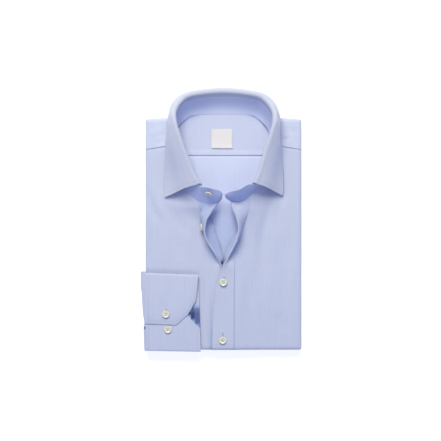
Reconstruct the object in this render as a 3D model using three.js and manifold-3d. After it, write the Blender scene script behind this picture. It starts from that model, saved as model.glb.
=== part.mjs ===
// A light blue long sleeve dress shirt, folded for sale and lying flat on its back.
// Millimetres, +Z up. The origin is on the surface it lies on, under the middle of the folded packet.
// +Y points to the back of the collar and the left sleeve of the picture lies at -X.

import * as THREE from 'three';
import { mergeVertices } from 'three/addons/utils/BufferGeometryUtils.js';
import Module from 'manifold-3d';

const wasm = await Module();
wasm.setup();

// Driving sizes of the folded packet
const HALF_WIDTH = 117.5;
const TOP_EDGE = 173.2;
const BOTTOM_EDGE = -174.3;
const LAYERS_TOP = 17.6;
const BACK_LEVEL = 18.8;
const FRONT_LEVEL = 22.3;
const YOKE_LIFT = 0.7;

// Walls: one layer of shirting, two layers with interlining, and the folded sleeve
const CLOTH = 1.6;
const INTERLINED = 2;
const CUFF_WALL = 1.8;
const SLEEVE_WALL = 2;
const SLEEVE_SLACK = 0.9;
const SEAM_GAP = 0.35;
const STEEP_GAP = 2.9;
const STEEP_FROM = -58;
const STEEP_TO = 49;

// Collar
const FOLD_RADIUS = 3.3;
const LEAF_BULGE = 3;
const LEAF_FLARE = 3;
const LEAF_BOW = 1.8;
const BAND_FOOT = 1.6;
const BAND_BELLY = 4;
const BAND_ROLL = 3.4;

// Buttons
const BUTTON_DIAMETER = 11;
const BUTTON_THICKNESS = 2.4;
const BUTTON_HOLE = 1.5;
const BUTTON_HOLE_PITCH = 2.6;

const colours = {
  shirting: 0xb9c4e6,
  collar: 0xaeb8dc,
  inside: 0xccd5f2,
  label: 0xe4e2e6,
  button: 0xe6e2d4,
};

const table = (names, rows) => rows.map((row) => Object.fromEntries(names.map((name, i) => [name, row[i]])));
const mix = (a, b, t) => a + (b - a) * t;
const clamp = (value, low, high) => Math.min(high, Math.max(low, value));
const vec = (x, y, z) => new THREE.Vector3(x, y, z);

// Collar sections from the left front end of the leaf, round the back, to the right front end.
// seam: where the band meets the body, fold: crest of the roll, edge: outer edge of the leaf,
// stand: how far up from seam to fold the band reaches, flare: 1 where the leaf spreads out flat
// below its fold and 0 where it hangs round, belly: how far the band sags between its two edges.
const collarSections = table(
  ['seamX', 'seamY', 'seamZ', 'foldX', 'foldY', 'foldZ', 'edgeX', 'edgeY', 'edgeZ', 'stand', 'flare',
    'belly'],
  [
    [-38, 50, 33, -34.5, 75, 54, -88, 55.2, 25.6, 0.86, 1, 0],
    [-55, 66, 31, -43.8, 91, 55.5, -88, 75, 26.4, 0.82, 1, 0],
    [-71.5, 100, 28.5, -56.8, 122.5, 58.5, -87.3, 105, 27, 0.77, 0.9, 0.3],
    [-76.5, 135, 27, -68.3, 154, 62, -85.8, 137, 27, 0.73, 0.7, 0.8],
    [-73, 153, 26, -73.5, 171, 62, -84, 156, 27, 0.72, 0.5, 1],
    [-68, 163, 24, -74, 185, 57.5, -82.6, 174.5, 24.5, 0.72, 0.2, 1],
    [-57, 173.2, 22, -65.5, 199.4, 52, -77, 192, 12, 0.72, 0, 1],
    [-43, 179.8, 21.2, -47.8, 209.8, 49.5, -55, 204, 5, 0.72, 0, 1],
    [0, 181.2, 21, 0, 215.4, 45, 0, 209.5, 3, 0.72, 0, 1],
    [40, 180, 21.2, 47, 209.8, 49.5, 56, 204, 5, 0.72, 0, 1],
    [53.5, 173, 22, 65.2, 199.6, 52, 77, 192.5, 12, 0.72, 0, 1],
    [65, 161.5, 24, 76, 183.6, 57.5, 83, 174.5, 24.5, 0.72, 0, 1],
    [71, 150, 26, 76.5, 167.5, 62, 84, 155, 27, 0.72, 0.2, 1],
    [76.3, 133, 27, 71.5, 152, 62, 85.3, 137, 27, 0.73, 0.3, 0.8],
    [72.5, 100, 28.5, 61.2, 121.5, 58.5, 88, 105, 27, 0.77, 0.4, 0.3],
    [57, 74, 31.5, 51.5, 92, 56, 89.5, 77, 26.4, 0.82, 0.5, 0],
    [41.5, 61, 33.5, 45, 76.5, 55, 88.5, 58, 25.6, 0.83, 0.6, 0],
  ],
);

// The two ends of the band in front of the leaf, from the leaf outwards to the rounded tip.
// roll: how much of the band's outward roll an end has there.
const bandEndNames = ['seamX', 'seamY', 'seamZ', 'topX', 'topY', 'topZ', 'roll'];
const bandEndLeft = table(bandEndNames, [
  [-25, 47, 32, -24, 70.3, 55, -0.5],
  [-13, 47.5, 32, -12, 67, 53.5, 0.8],
  [-6.5, 49.5, 32.5, -4.8, 64.6, 50, 1],
  [-2.6, 54, 35.5, -1.3, 60, 44.5, 0.25],
]);
const bandEndRight = table(bandEndNames, [
  [33, 52.5, 33, 35.5, 74.5, 55.5, 0.4],
  [23, 49, 32.5, 23.5, 67, 55, 0.8],
  [11, 50.5, 34, 10.5, 63.8, 51, 1],
  [3.4, 55.5, 39, 1.6, 60, 45.5, 0.25],
]);

// Front strips: sections across the strip at a height y on the shirt.
// seam: joint to the front panel, low and high: points where the standing strip curls, edge: free edge.
const stripNames = ['y', 'seamX', 'seamZ', 'lowX', 'lowZ', 'highX', 'highZ', 'edgeX', 'edgeZ'];
const stripButtonSide = table(stripNames, [
  [-163.5, -16.8, 22.9, -5.6, 23.2, 5.6, 23.5, 16.8, 23.6],
  [-115, -17.2, 22.9, -6, 23.2, 5, 23.5, 16.2, 23.7],
  [-80, -19, 22.9, -9, 23.2, 1, 23.7, 11, 24.2],
  [-62, -20, 22.9, -12, 23.2, -4, 24, 4, 25],
  [-50, -20.5, 22.9, -12, 23.4, -5, 24.6, -1.4, 26.6],
  [-40, -19.5, 23, -2, 24, -5.5, 27.5, -6.8, 30.5],
  [-33, -17.5, 23.5, -1.4, 24.8, -9, 28.5, -10.4, 33],
  [-22, -10.5, 24, -4.5, 25.2, -17.5, 30, -17, 38],
  [-10, -9, 24.6, -8, 26, -25, 32, -24, 43],
  [1, -13, 24.8, -12.5, 26, -27.8, 33, -27.8, 46],
  [10, -16, 25, -16.5, 26.5, -29.6, 34.5, -27.8, 47],
  [21, -21.2, 25.3, -24.5, 28.8, -32.5, 36, -25, 46.5],
  [31, -30, 27.6, -32.2, 31, -33.8, 36.5, -18.8, 44.5],
  [40, -36.3, 31, -30, 31.5, -22, 35, -13, 38.5],
]);
const stripButtonholeSide = table(stripNames, [
  [-163.5, 16.8, 26, 5.6, 26.3, -5.6, 26.5, -17, 26.6],
  [-115, 16.8, 26, 6, 26.4, -4.5, 26.8, -14.6, 27],
  [-82, 16.8, 26, 7, 26.9, -2.5, 27.5, -11.6, 28],
  [-62, 16.9, 26.2, 9, 27.4, 1, 28.2, -6.2, 28.8],
  [-50, 17, 26.4, 11, 27.8, 5, 29, -1.7, 30.4],
  [-36, 18, 26, 3.4, 28.2, 6.2, 30.5, 5.9, 34],
  [-23, 18, 25.5, 5.4, 27.4, 13.2, 32, 12.8, 39.5],
  [-9, 19.5, 25.5, 11.2, 27, 20.8, 34.5, 19, 45],
  [5, 27, 26, 24, 28, 26, 37.5, 22.3, 48],
  [15.5, 31.5, 27, 29.5, 31, 26, 40, 21.8, 49.5],
  [26, 34.8, 28.5, 31, 33, 25.5, 39.5, 18.6, 46.5],
  [37, 38, 30.5, 31, 33, 22.5, 37.5, 13.4, 42],
]);


// Under the sleeve the front's side is drawn in, from this height down over this length
const SLEEVE_TUCK = 2.6;
const SLEEVE_TUCK_START = -60;
const SLEEVE_TUCK_RUN = 60;

// How cloth turns over an outer edge of the packet, from the tucked end up to the flat
const edgeTurn = table(['inset', 'drop'], [
  [1.6, 13.6],
  [0.2, 10],
  [0, 6.4],
  [0.3, 3.2],
  [1.6, 0.9],
  [5, 0],
]);
const TURN_FLAT = 5;
const CORNER_ROUNDING = 3.5;
const CORNER_REACH = 8;
const UNDER_STRIP_INSET = 3.5;

// Outline of the hidden layers level by level: three soft folds above each other
const layerRings = table(['level', 'inset'], [
  [0, 6],
  [0.9, 3.2],
  [2.4, 2.2],
  [3.9, 2.6],
  [4.8, 4.6],
  [5.7, 5.6],
  [7.5, 6.9],
  [9.5, 8],
  [12, 7.4],
  [14.5, 6.8],
  [16.6, 8],
  [LAYERS_TOP, 11],
]);
const LAYER_CORNER = 26;

// Cuff on the left front: sleeve end at the left, free edge at the right
const CUFF_LEFT = -117.2;
const CUFF_TOP_LEFT = -57.7;
const CUFF_TOP_RIGHT = -60.6;
const CUFF_BOTTOM_LEFT = -175.2;
const CUFF_BOTTOM_RIGHT = -176.6;
const CUFF_RIGHT_AT_TOP = -37.7;
const CUFF_RIGHT_AT_MITRE = -41.2;
const CUFF_RIGHT_AT_BOTTOM = -34.1;
const CUFF_MITRE_DROP = 39;
const CUFF_BACK_LEVEL = 24.8;
const CUFF_UNDER_LEVEL = 27.2;
const CUFF_OVER_LEVEL = 29.7;
const CUFF_UNDER_SWELL = 0.2;
const CUFF_OVER_SWELL = 0.6;
const cuffOverEnd = table(['x', 'y'], [[-117, -134.4], [-70.7, -136.2], [-53.7, -120.9], [-41.2, -99.5]]);
const cuffUnderEnd = table(['x', 'y'], [[-117, -108], [-70, -106], [-53.7, -121.8], [-37, -141]]);

// Straight line through the rows of a table, on one named column
function along(rows, key, at) {
  let i = 0;
  while (i < rows.length - 2 && at > rows[i + 1][key]) i += 1;
  const t = clamp((at - rows[i][key]) / (rows[i + 1][key] - rows[i][key]), 0, 1);
  return Object.fromEntries(Object.keys(rows[i]).map((name) => [name, mix(rows[i][name], rows[i + 1][name], t)]));
}

// Smooth curve through the rows of a table, at a place counted in rows
function smooth(rows, place) {
  const i = clamp(Math.floor(place), 0, rows.length - 2);
  const t = place - i;
  const [p, a, b, n] = [rows[Math.max(i - 1, 0)], rows[i], rows[i + 1], rows[Math.min(i + 2, rows.length - 1)]];
  const out = {};
  for (const name of Object.keys(a)) {
    const slopeA = (b[name] - p[name]) / 2;
    const slopeB = (n[name] - a[name]) / 2;
    const rise = a[name] - b[name];
    out[name] = a[name] + slopeA * t + (-3 * rise - 2 * slopeA - slopeB) * t * t
      + (2 * rise + slopeA + slopeB) * t * t * t;
  }
  return out;
}

const resample = (rows, count) =>
  Array.from({ length: count }, (_, i) => smooth(rows, (i * (rows.length - 1)) / (count - 1)));

// A smooth curve through points, cut into a number of steps
function curvePoints(points, steps) {
  return new THREE.CatmullRomCurve3(points, false, 'centripetal').getPoints(steps);
}

// Closed cloth wall round a grid of points on its middle surface
function clothWall(grid, thickness) {
  const rows = grid.length;
  const columns = grid[0].length;
  const outer = [];
  const inner = [];
  for (let i = 0; i < rows; i += 1) {
    for (let j = 0; j < columns; j += 1) {
      const down = grid[Math.min(i + 1, rows - 1)][j].clone().sub(grid[Math.max(i - 1, 0)][j]);
      const across = grid[i][Math.min(j + 1, columns - 1)].clone().sub(grid[i][Math.max(j - 1, 0)]);
      const normal = down.cross(across).normalize();
      outer.push(grid[i][j].clone().addScaledVector(normal, thickness / 2));
      inner.push(grid[i][j].clone().addScaledVector(normal, -thickness / 2));
    }
  }
  const faces = [];
  const at = (i, j) => i * columns + j;
  const shift = rows * columns;
  const quad = (a, b, c, d) => faces.push(a, b, c, a, c, d);
  for (let i = 0; i < rows - 1; i += 1) {
    for (let j = 0; j < columns - 1; j += 1) {
      quad(at(i, j), at(i + 1, j), at(i + 1, j + 1), at(i, j + 1));
      quad(shift + at(i, j), shift + at(i, j + 1), shift + at(i + 1, j + 1), shift + at(i + 1, j));
    }
  }
  for (let i = 0; i < rows - 1; i += 1) {
    quad(at(i, 0), shift + at(i, 0), shift + at(i + 1, 0), at(i + 1, 0));
    quad(at(i, columns - 1), at(i + 1, columns - 1), shift + at(i + 1, columns - 1), shift + at(i, columns - 1));
  }
  for (let j = 0; j < columns - 1; j += 1) {
    quad(at(0, j), at(0, j + 1), shift + at(0, j + 1), shift + at(0, j));
    quad(at(rows - 1, j), shift + at(rows - 1, j), shift + at(rows - 1, j + 1), at(rows - 1, j + 1));
  }
  return closedGeometry([...outer, ...inner], faces);
}

function closedGeometry(points, faces) {
  const geometry = new THREE.BufferGeometry().setFromPoints(points);
  geometry.setIndex(faces);
  return facingOut(geometry);
}

// Turns the faces round where the body would come out inside out
function facingOut(geometry) {
  const index = geometry.getIndex().array;
  const place = geometry.getAttribute('position');
  const [a, b, c] = [vec(), vec(), vec()];
  let volume = 0;
  for (let i = 0; i < index.length; i += 3) {
    a.fromBufferAttribute(place, index[i]);
    b.fromBufferAttribute(place, index[i + 1]);
    c.fromBufferAttribute(place, index[i + 2]);
    volume += a.dot(b.cross(c));
  }
  if (volume < 0) {
    for (let i = 0; i < index.length; i += 3) [index[i + 1], index[i + 2]] = [index[i + 2], index[i + 1]];
  }
  geometry.computeVertexNormals();
  return geometry;
}

function toManifold(geometry) {
  const bare = geometry.clone();
  bare.deleteAttribute('normal');
  bare.deleteAttribute('uv');
  const merged = mergeVertices(bare, 1e-4);
  return new wasm.Manifold(new wasm.Mesh({
    numProp: 3,
    vertProperties: new Float32Array(merged.getAttribute('position').array),
    triVerts: new Uint32Array(merged.getIndex().array),
  }));
}

function fromManifold(solid) {
  const mesh = solid.getMesh();
  const geometry = new THREE.BufferGeometry();
  geometry.setAttribute('position', new THREE.BufferAttribute(mesh.vertProperties, 3));
  geometry.setIndex(new THREE.BufferAttribute(mesh.triVerts, 1));
  geometry.computeVertexNormals();
  return geometry;
}

// Collar

const pointOf = (row, name) => vec(row[`${name}X`], row[`${name}Y`], row[`${name}Z`]);
const collarRows = resample(collarSections, 33);
const CENTRE = vec(0, 125, 0);

// Section of the leaf: out of the band, over the rounded fold and down to its edge
function leafSection(row) {
  const seam = pointOf(row, 'seam');
  const fold = pointOf(row, 'fold');
  const edge = pointOf(row, 'edge');
  const rise = fold.clone().sub(seam).normalize();
  const fall = edge.clone().sub(fold).normalize();
  const crest = rise.clone().sub(fall).normalize();
  const side = rise.clone().add(fall);
  side.addScaledVector(crest, -side.dot(crest));
  const outward = fold.clone().sub(CENTRE).setZ(0).normalize();
  side.addScaledVector(outward, 0.6).addScaledVector(crest, -0.6 * outward.dot(crest)).normalize();
  const middle = fold.clone().addScaledVector(crest, -FOLD_RADIUS);
  const arc = (degrees) => middle.clone()
    .addScaledVector(side, FOLD_RADIUS * Math.sin((degrees * Math.PI) / 180))
    .addScaledVector(crest, FOLD_RADIUS * Math.cos((degrees * Math.PI) / 180));
  const start = seam.clone().lerp(fold, row.stand).addScaledVector(rise, SEAM_GAP * 4);
  const end = arc(82);
  const bulge = side.clone().addScaledVector(fall, -side.dot(fall)).normalize();
  const outAndUp = bulge.clone().setY(bulge.y * (1 - row.flare));
  const fallPoint = (t) => {
    const hanging = LEAF_BULGE * Math.sin(Math.PI * t);
    const flaring = LEAF_FLARE * Math.sin(2 * Math.PI * t);
    const point = end.clone().lerp(edge, t).addScaledVector(outAndUp, mix(hanging, flaring, row.flare));
    point.y += row.flare * LEAF_BOW * Math.sin(Math.PI * t) * t;
    return point;
  };
  return [
    start,
    start.clone().lerp(arc(-82), 0.5),
    ...[-82, -45, 0, 45, 82].map(arc),
    ...[0.25, 0.5, 0.75, 1].map(fallPoint),
  ];
}

const leafGrid = collarRows.map(leafSection);

// Section of the band from the seam to the leaf: it sags at the back and rolls outwards at the ends
function bandSection({ seam, top, belly, roll }) {
  const rise = top.clone().sub(seam).normalize();
  const low = seam.clone().addScaledVector(rise, BAND_FOOT);
  const high = top.clone().addScaledVector(rise, -SEAM_GAP);
  return [0, 0.25, 0.5, 0.75, 1].map((t) => {
    const bow = Math.sin(Math.PI * t);
    const point = low.clone().lerp(high, t);
    point.y -= 0.3 * BAND_ROLL * roll * bow;
    point.z += (0.6 * BAND_ROLL * roll - BAND_BELLY * belly) * bow;
    return point;
  });
}

const endRow = (row) => ({ seam: pointOf(row, 'seam'), top: pointOf(row, 'top'), belly: 0, roll: row.roll });
const bandRows = [
  ...bandEndLeft.map(endRow).reverse(),
  ...collarRows.filter((_, i) => i % 2 === 0).map((row) => ({
    seam: pointOf(row, 'seam'),
    top: pointOf(row, 'seam').lerp(pointOf(row, 'fold'), row.stand),
    belly: row.belly,
    roll: 0,
  })),
  ...bandEndRight.map(endRow),
];
const bandGrid = bandRows.map(bandSection);

// The seam line at one side of the neck, by height on the shirt
const seamRows = {
  [-1]: table(['y', 'x', 'z'], collarRows.slice(0, 12).map((row) => [row.seamY, row.seamX, row.seamZ])),
  [1]: table(['y', 'x', 'z'], collarRows.slice(-12).reverse().map((row) => [row.seamY, row.seamX, row.seamZ])),
};

// Body

const STRIP_ROWS = 27;
const strips = { [-1]: resample(stripButtonSide, STRIP_ROWS), [1]: resample(stripButtonholeSide, STRIP_ROWS) };

// Where the front panel stops: at the strip, and above it at the collar seam
function frontLimit(side, y) {
  const rows = strips[side];
  const last = rows[rows.length - 1];
  const seamStart = seamRows[side][0];
  if (y >= seamStart.y) {
    const seam = along(seamRows[side], 'y', y);
    return { x: seam.x + side * SEAM_GAP * 4, z: seam.z };
  }
  const row = y > last.y
    ? { seamX: mix(last.seamX, seamStart.x, (y - last.y) / (seamStart.y - last.y)),
        seamZ: mix(last.seamZ, seamStart.z, (y - last.y) / (seamStart.y - last.y)) }
    : along(rows, 'y', y);
  const steep = y > STEEP_FROM && y < STEEP_TO ? STEEP_GAP : 0;
  return { x: row.seamX + side * (SEAM_GAP * 1.6 + steep), z: row.seamZ };
}

// How far from its limit a panel is still lifted: beside the strip, and beside the neck
const LIFT_AT_STRIP = 26;
const LIFT_AT_NECK = 9;
const LIFT_CHANGE = 45;
const LIFT_CHANGE_RUN = 30;
const LIFT_POWER = 1.6;

// Height of a front panel: flat, and lifted towards the strip and the collar
function frontLevel(side, x, y) {
  const limit = frontLimit(side, y);
  const reach = mix(LIFT_AT_STRIP, LIFT_AT_NECK, clamp((y - LIFT_CHANGE) / LIFT_CHANGE_RUN, 0, 1));
  const away = Math.abs(x - limit.x) / reach;
  return FRONT_LEVEL + (limit.z - FRONT_LEVEL) * Math.exp(-(away ** LIFT_POWER));
}

const shoulderSeam = (x) => mix(127.3, 133.6, (HALF_WIDTH - Math.abs(x)) / 40);
const topEdge = (x) => TOP_EDGE + 2.4 * clamp((HALF_WIDTH - Math.abs(x)) / 34, 0, 1);

// Points across a panel: round the side fold, then over the top to its limit
function acrossPanel(side, flatSteps) {
  const turn = edgeTurn.map((row) => ({ x: side * (HALF_WIDTH - CLOTH / 2 - row.inset), drop: row.drop, flat: 0 }));
  const start = turn[turn.length - 1].x;
  const flat = Array.from({ length: flatSteps }, (_, i) => ({ x: start, drop: 0, flat: (i + 1) / flatSteps }));
  return [...turn, ...flat];
}

const joinedDrop = (a, b) => Math.cbrt(a ** 3 + b ** 3);
const cornerPull = (a, b) =>
  (CORNER_ROUNDING * Math.min(a, CORNER_REACH) * Math.min(b, CORNER_REACH)) / CORNER_REACH ** 2;

// Front panel from the bottom fold up to the shoulder seam. Under the sleeve its side is drawn in.
function frontPanel(side) {
  const edge = BOTTOM_EDGE + CLOTH / 2;
  const seamOf = (x) => shoulderSeam(x) - SEAM_GAP;
  const drawnIn = (y) => (side < 0 ? SLEEVE_TUCK * clamp((SLEEVE_TUCK_START - y) / SLEEVE_TUCK_RUN, 0, 1) : 0);
  const steps = 14;
  const levels = [
    ...edgeTurn.map((row) => ({ y: edge + row.inset, drop: row.drop, up: 0 })),
    ...Array.from({ length: steps }, (_, i) => ({ y: edge + TURN_FLAT, drop: 0, up: (i + 1) / steps })),
  ];
  return levels.map((level) =>
    acrossPanel(side, 8).map((column) => {
      const guess = mix(level.y, seamOf(column.x), level.up);
      const limit = frontLimit(side, guess);
      const x = mix(column.x - side * drawnIn(guess), limit.x, column.flat);
      const y = mix(level.y, seamOf(x), level.up);
      const corner = cornerPull(column.drop, level.drop);
      const z = frontLevel(side, mix(x, frontLimit(side, y).x, column.flat ** 6), y);
      return vec(
        (column.flat === 1 ? frontLimit(side, y).x : x) - side * corner,
        y + corner,
        z - joinedDrop(column.drop, level.drop),
      );
    }));
}

// Strip with its curl, wrapped over the bottom fold, ending at the collar seam
function stripGrid(side) {
  const rows = strips[side];
  const lower = rows[0];
  const pick = (row) => [
    vec(row.seamX, row.y, row.seamZ),
    vec(row.lowX, row.y, row.lowZ),
    vec(row.highX, row.y, row.highZ),
    vec(row.edgeX, row.y, row.edgeZ),
  ];
  const under = side < 0 ? UNDER_STRIP_INSET : 0;
  const turned = edgeTurn.slice(0, -1).map((turn) =>
    pick({ ...lower, y: BOTTOM_EDGE + INTERLINED / 2 + under + turn.inset })
      .map((point) => point.setZ(point.z - turn.drop)));
  const body = rows.map(pick);
  const neck = { [-1]: bandEndLeft, [1]: bandEndRight }[side];
  const seamStart = seamRows[side][0];
  const seamLine = [vec(seamStart.x, seamStart.y, seamStart.z), ...neck.slice(0, 3).map((row) => pointOf(row, 'seam'))];
  const top = seamLine.map((point) => point.add(vec(0, -1.1, -0.7)));
  return [...turned, ...body, top].map((points) => curvePoints(points, 7));
}

const NECK_SIDE_X = 76;
const NECK_SIDE_TOP = 158;

// Shoulder part of the yoke: from the front seam up and over the top edge of the packet
function shoulderPart(side) {
  const turned = [...edgeTurn].reverse();
  const flatRows = 5;
  const levels = [
    ...Array.from({ length: flatRows }, (_, i) => ({ up: i / flatRows, inset: TURN_FLAT, drop: 0 })),
    ...turned.map((row) => ({ up: 1, inset: row.inset, drop: row.drop })),
  ];
  const neck = seamRows[side];
  return levels.map((level) =>
    acrossPanel(side, 5).map((column) => {
      const yOf = (x) => mix(shoulderSeam(x), topEdge(x) - CLOTH / 2 - level.inset, level.up);
      const seam = along(neck, 'y', Math.min(yOf(side * NECK_SIDE_X), NECK_SIDE_TOP));
      const limit = seam.x + side * SEAM_GAP * 4;
      const x = mix(column.x, limit, column.flat);
      const away = Math.abs(x - limit) / LIFT_AT_NECK;
      const base = FRONT_LEVEL + YOKE_LIFT;
      const z = base + (seam.z - base) * Math.exp(-(away ** LIFT_POWER));
      const corner = cornerPull(column.drop, level.drop);
      return vec(x - side * corner, yOf(x) - corner, z - joinedDrop(column.drop, level.drop));
    }));
}

// Inside of the yoke, from the back seam up to the collar seam
const YOKE_SEAM = 118.6;
const neckLine = table(['x', 'y'], collarRows.slice(10, 23).map((row) => [row.seamX, row.seamY]));
const YOKE_INSIDE_HALF = 92;
const YOKE_NECK_RISE = 1.6;
const NECK_LEFT = -66;
const NECK_RIGHT = 63;
const NECK_BLEND = 8;
const insideSteps = 20;

function insideYoke() {
  return Array.from({ length: 7 }, (_, i) =>
    Array.from({ length: insideSteps + 1 }, (_, j) => {
      const x = mix(-YOKE_INSIDE_HALF, YOKE_INSIDE_HALF, j / insideSteps);
      const nearNeck = clamp((-NECK_LEFT - Math.abs(x)) / NECK_BLEND, 0, 1);
      const neck = along(neckLine, 'x', clamp(x, NECK_LEFT, NECK_RIGHT)).y - 1;
      const top = mix(topEdge(x) - CLOTH / 2, neck, nearNeck);
      const up = i / 6;
      return vec(x, mix(YOKE_SEAM + SEAM_GAP, top, up), BACK_LEVEL + YOKE_NECK_RISE * nearNeck * up ** 3);
    }));
}

const BACK_HALF = 104;
const BACK_LOW = -84;

function backPanel() {
  return Array.from({ length: 8 }, (_, i) =>
    Array.from({ length: 9 }, (_, j) =>
      vec(mix(-BACK_HALF, BACK_HALF, j / 8), mix(BACK_LOW, YOKE_SEAM, i / 7), BACK_LEVEL)));
}

// Rounded outline of the hidden layers at one level
function layerRing(inset, level) {
  const x = HALF_WIDTH - inset;
  const [low, high] = [BOTTOM_EDGE + inset, TOP_EDGE - inset];
  const radius = Math.max(LAYER_CORNER - inset, 3);
  const corners = [[x, high, 0], [-x, high, 90], [-x, low, 180], [x, low, 270]];
  return corners.flatMap(([cx, cy, start]) => {
    const centre = vec(cx - Math.sign(cx) * radius, cy - Math.sign(cy) * radius, level);
    return Array.from({ length: 6 }, (_, i) => {
      const angle = ((start + i * 18) * Math.PI) / 180;
      return centre.clone().add(vec(radius * Math.cos(angle), radius * Math.sin(angle), 0));
    });
  });
}

function hiddenLayers() {
  const rings = layerRings.map((row) => layerRing(row.inset, row.level));
  const count = rings[0].length;
  const points = [...rings.flat(), vec(0, 0, 0), vec(0, 0, LAYERS_TOP)];
  const [bottom, top] = [points.length - 2, points.length - 1];
  const last = (rings.length - 1) * count;
  const faces = [];
  for (let j = 0; j < count; j += 1) {
    const next = (j + 1) % count;
    for (let i = 0; i < rings.length - 1; i += 1) {
      const [a, b] = [i * count, (i + 1) * count];
      faces.push(a + j, a + next, b + next, a + j, b + next, b + j);
    }
    faces.push(bottom, next, j, top, last + j, last + next);
  }
  return closedGeometry(points, faces);
}

// Woven patch on the inside of the yoke, made from the yoke's own level
const LABEL_LEFT = -18.2;
const LABEL_RIGHT = 13.3;
const LABEL_LOW = 129;
const LABEL_HIGH = 158.3;
const LABEL_WALL = 0.6;
const NECK_BACK = 180;

function neckLabel() {
  const level = BACK_LEVEL + CLOTH / 2 + SEAM_GAP + LABEL_WALL / 2;
  return Array.from({ length: 5 }, (_, i) =>
    Array.from({ length: 5 }, (_, j) => {
      const y = mix(LABEL_LOW, LABEL_HIGH, i / 4);
      const up = (y - YOKE_SEAM) / (NECK_BACK - YOKE_SEAM);
      return vec(mix(LABEL_LEFT, LABEL_RIGHT, j / 4), y, level + YOKE_NECK_RISE * up ** 3);
    }));
}

// Cuff: one strip from the end of the underlap, round the lower fold, behind, round the upper fold
// and down to the end of the overlap
function cuffSection(along01) {
  const top = mix(CUFF_TOP_LEFT, CUFF_TOP_RIGHT, along01);
  const bottom = mix(CUFF_BOTTOM_LEFT, CUFF_BOTTOM_RIGHT, along01);
  const rightAt = (y, over) => (over
    ? mix(CUFF_RIGHT_AT_TOP, CUFF_RIGHT_AT_MITRE, clamp((top - y) / CUFF_MITRE_DROP, 0, 1))
    : mix(CUFF_RIGHT_AT_BOTTOM, CUFF_RIGHT_AT_TOP, (y - bottom) / (top - bottom)));
  const xAt = (y, over) => mix(CUFF_LEFT, rightAt(y, over), along01);
  const place = (y, z, over) => vec(xAt(y, over), y, z);
  const middle = (CUFF_TOP_LEFT + CUFF_BOTTOM_LEFT) / 2;
  const underEnd = along(cuffUnderEnd, 'x', xAt(middle, false)).y;
  const overEnd = along(cuffOverEnd, 'x', xAt(middle, true)).y;
  const lowRadius = (CUFF_UNDER_LEVEL - CUFF_BACK_LEVEL) / 2;
  const highRadius = (CUFF_OVER_LEVEL - CUFF_BACK_LEVEL) / 2;
  const lowCentre = bottom + CUFF_WALL / 2 + lowRadius;
  const highCentre = top - CUFF_WALL / 2 - highRadius;
  const arc = (centre, radius, way) => [-60, -30, 0, 30, 60].map((degrees) => {
    const angle = (degrees * Math.PI) / 180;
    return { y: centre + way * radius * Math.cos(angle), z: radius * Math.sin(angle) };
  });
  const under = [0, 0.25, 0.5, 0.75, 1].map((t) =>
    place(mix(underEnd, lowCentre, t), CUFF_UNDER_LEVEL + CUFF_UNDER_SWELL * Math.sin(Math.PI * t), false));
  const lower = arc(lowCentre, lowRadius, -1).reverse().map((p) =>
    place(p.y, CUFF_BACK_LEVEL + lowRadius + p.z, false));
  const back = [0, 0.33, 0.67, 1].map((t) => place(mix(lowCentre, highCentre, t), CUFF_BACK_LEVEL, false));
  const upper = arc(highCentre, highRadius, 1).map((p) => place(p.y, CUFF_BACK_LEVEL + highRadius + p.z, false));
  const over = [0, 0.2, 0.4, 0.6, 0.8, 1].map((t) =>
    place(mix(highCentre, overEnd, t), CUFF_OVER_LEVEL + CUFF_OVER_SWELL * Math.sin(Math.PI * t), true));
  return [...under, ...lower, ...back, ...upper, ...over];
}

const cuffStations = [0, 0.15, 0.3, 0.45, 0.56, 0.66, 0.74, 0.81, 0.88, 0.94, 1];

// Sleeve: two layers of cloth as one wall, from the cuff round the left edge and down to the floor
const sleeveTurn = table(['out', 'level'], [
  [0, 27],
  [2.4, 26.8],
  [4.6, 25.4],
  [6, 22.8],
  [6.6, 18],
  [6.4, 12],
  [5.6, 6.5],
  [3.6, 2.9],
]);

// How far the sleeve stands out beside the cuff, from the cuff's upper fold down to its lower one
const sleeveReach = table(['share', 'reach'], [
  [0, 1],
  [0.2, 0.95],
  [0.26, 0.75],
  [0.4, 0.62],
  [0.55, 0.42],
  [0.64, 0.12],
  [0.7, 0.26],
  [0.78, 0.3],
  [1, 0.1],
]);

function sleeveGrid() {
  const steps = 20;
  return sleeveTurn.map((turn) =>
    Array.from({ length: steps + 1 }, (_, i) => {
      const t = i / steps;
      const y = mix(CUFF_TOP_LEFT + 1.2, CUFF_BOTTOM_LEFT + 0.6, t);
      const { reach } = along(sleeveReach, 'share', t);
      const away = turn.out * reach + SLEEVE_SLACK * (1 - reach);
      return vec(CUFF_LEFT - 0.2 - SEAM_GAP - away, y, turn.level);
    }));
}

// Buttons

function buttonGeometry() {
  const radius = BUTTON_DIAMETER / 2;
  const half = BUTTON_THICKNESS / 2;
  const profile = [
    [0, -half],
    [radius * 0.72, -half],
    [radius, -half * 0.1],
    [radius * 0.97, half * 0.7],
    [radius * 0.86, half],
    [radius * 0.7, half * 0.75],
    [radius * 0.58, half * 0.3],
    [0, half * 0.3],
  ].map(([x, y]) => new THREE.Vector2(x, y));
  const disc = new THREE.LatheGeometry(profile, 16);
  let solid = toManifold(disc);
  for (const [x, z] of [[1, 1], [1, -1], [-1, 1], [-1, -1]]) {
    const hole = new THREE.CylinderGeometry(BUTTON_HOLE / 2, BUTTON_HOLE / 2, BUTTON_THICKNESS * 2, 6);
    hole.translate((x * BUTTON_HOLE_PITCH) / 2, 0, (z * BUTTON_HOLE_PITCH) / 2);
    solid = solid.subtract(toManifold(hole));
  }
  return fromManifold(solid);
}

// Middle of the buttonhole strip at a height on the shirt
function stripLevel(y) {
  const row = along(stripButtonholeSide, 'y', y);
  return mix(row.lowZ, row.highZ, 0.5);
}

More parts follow.
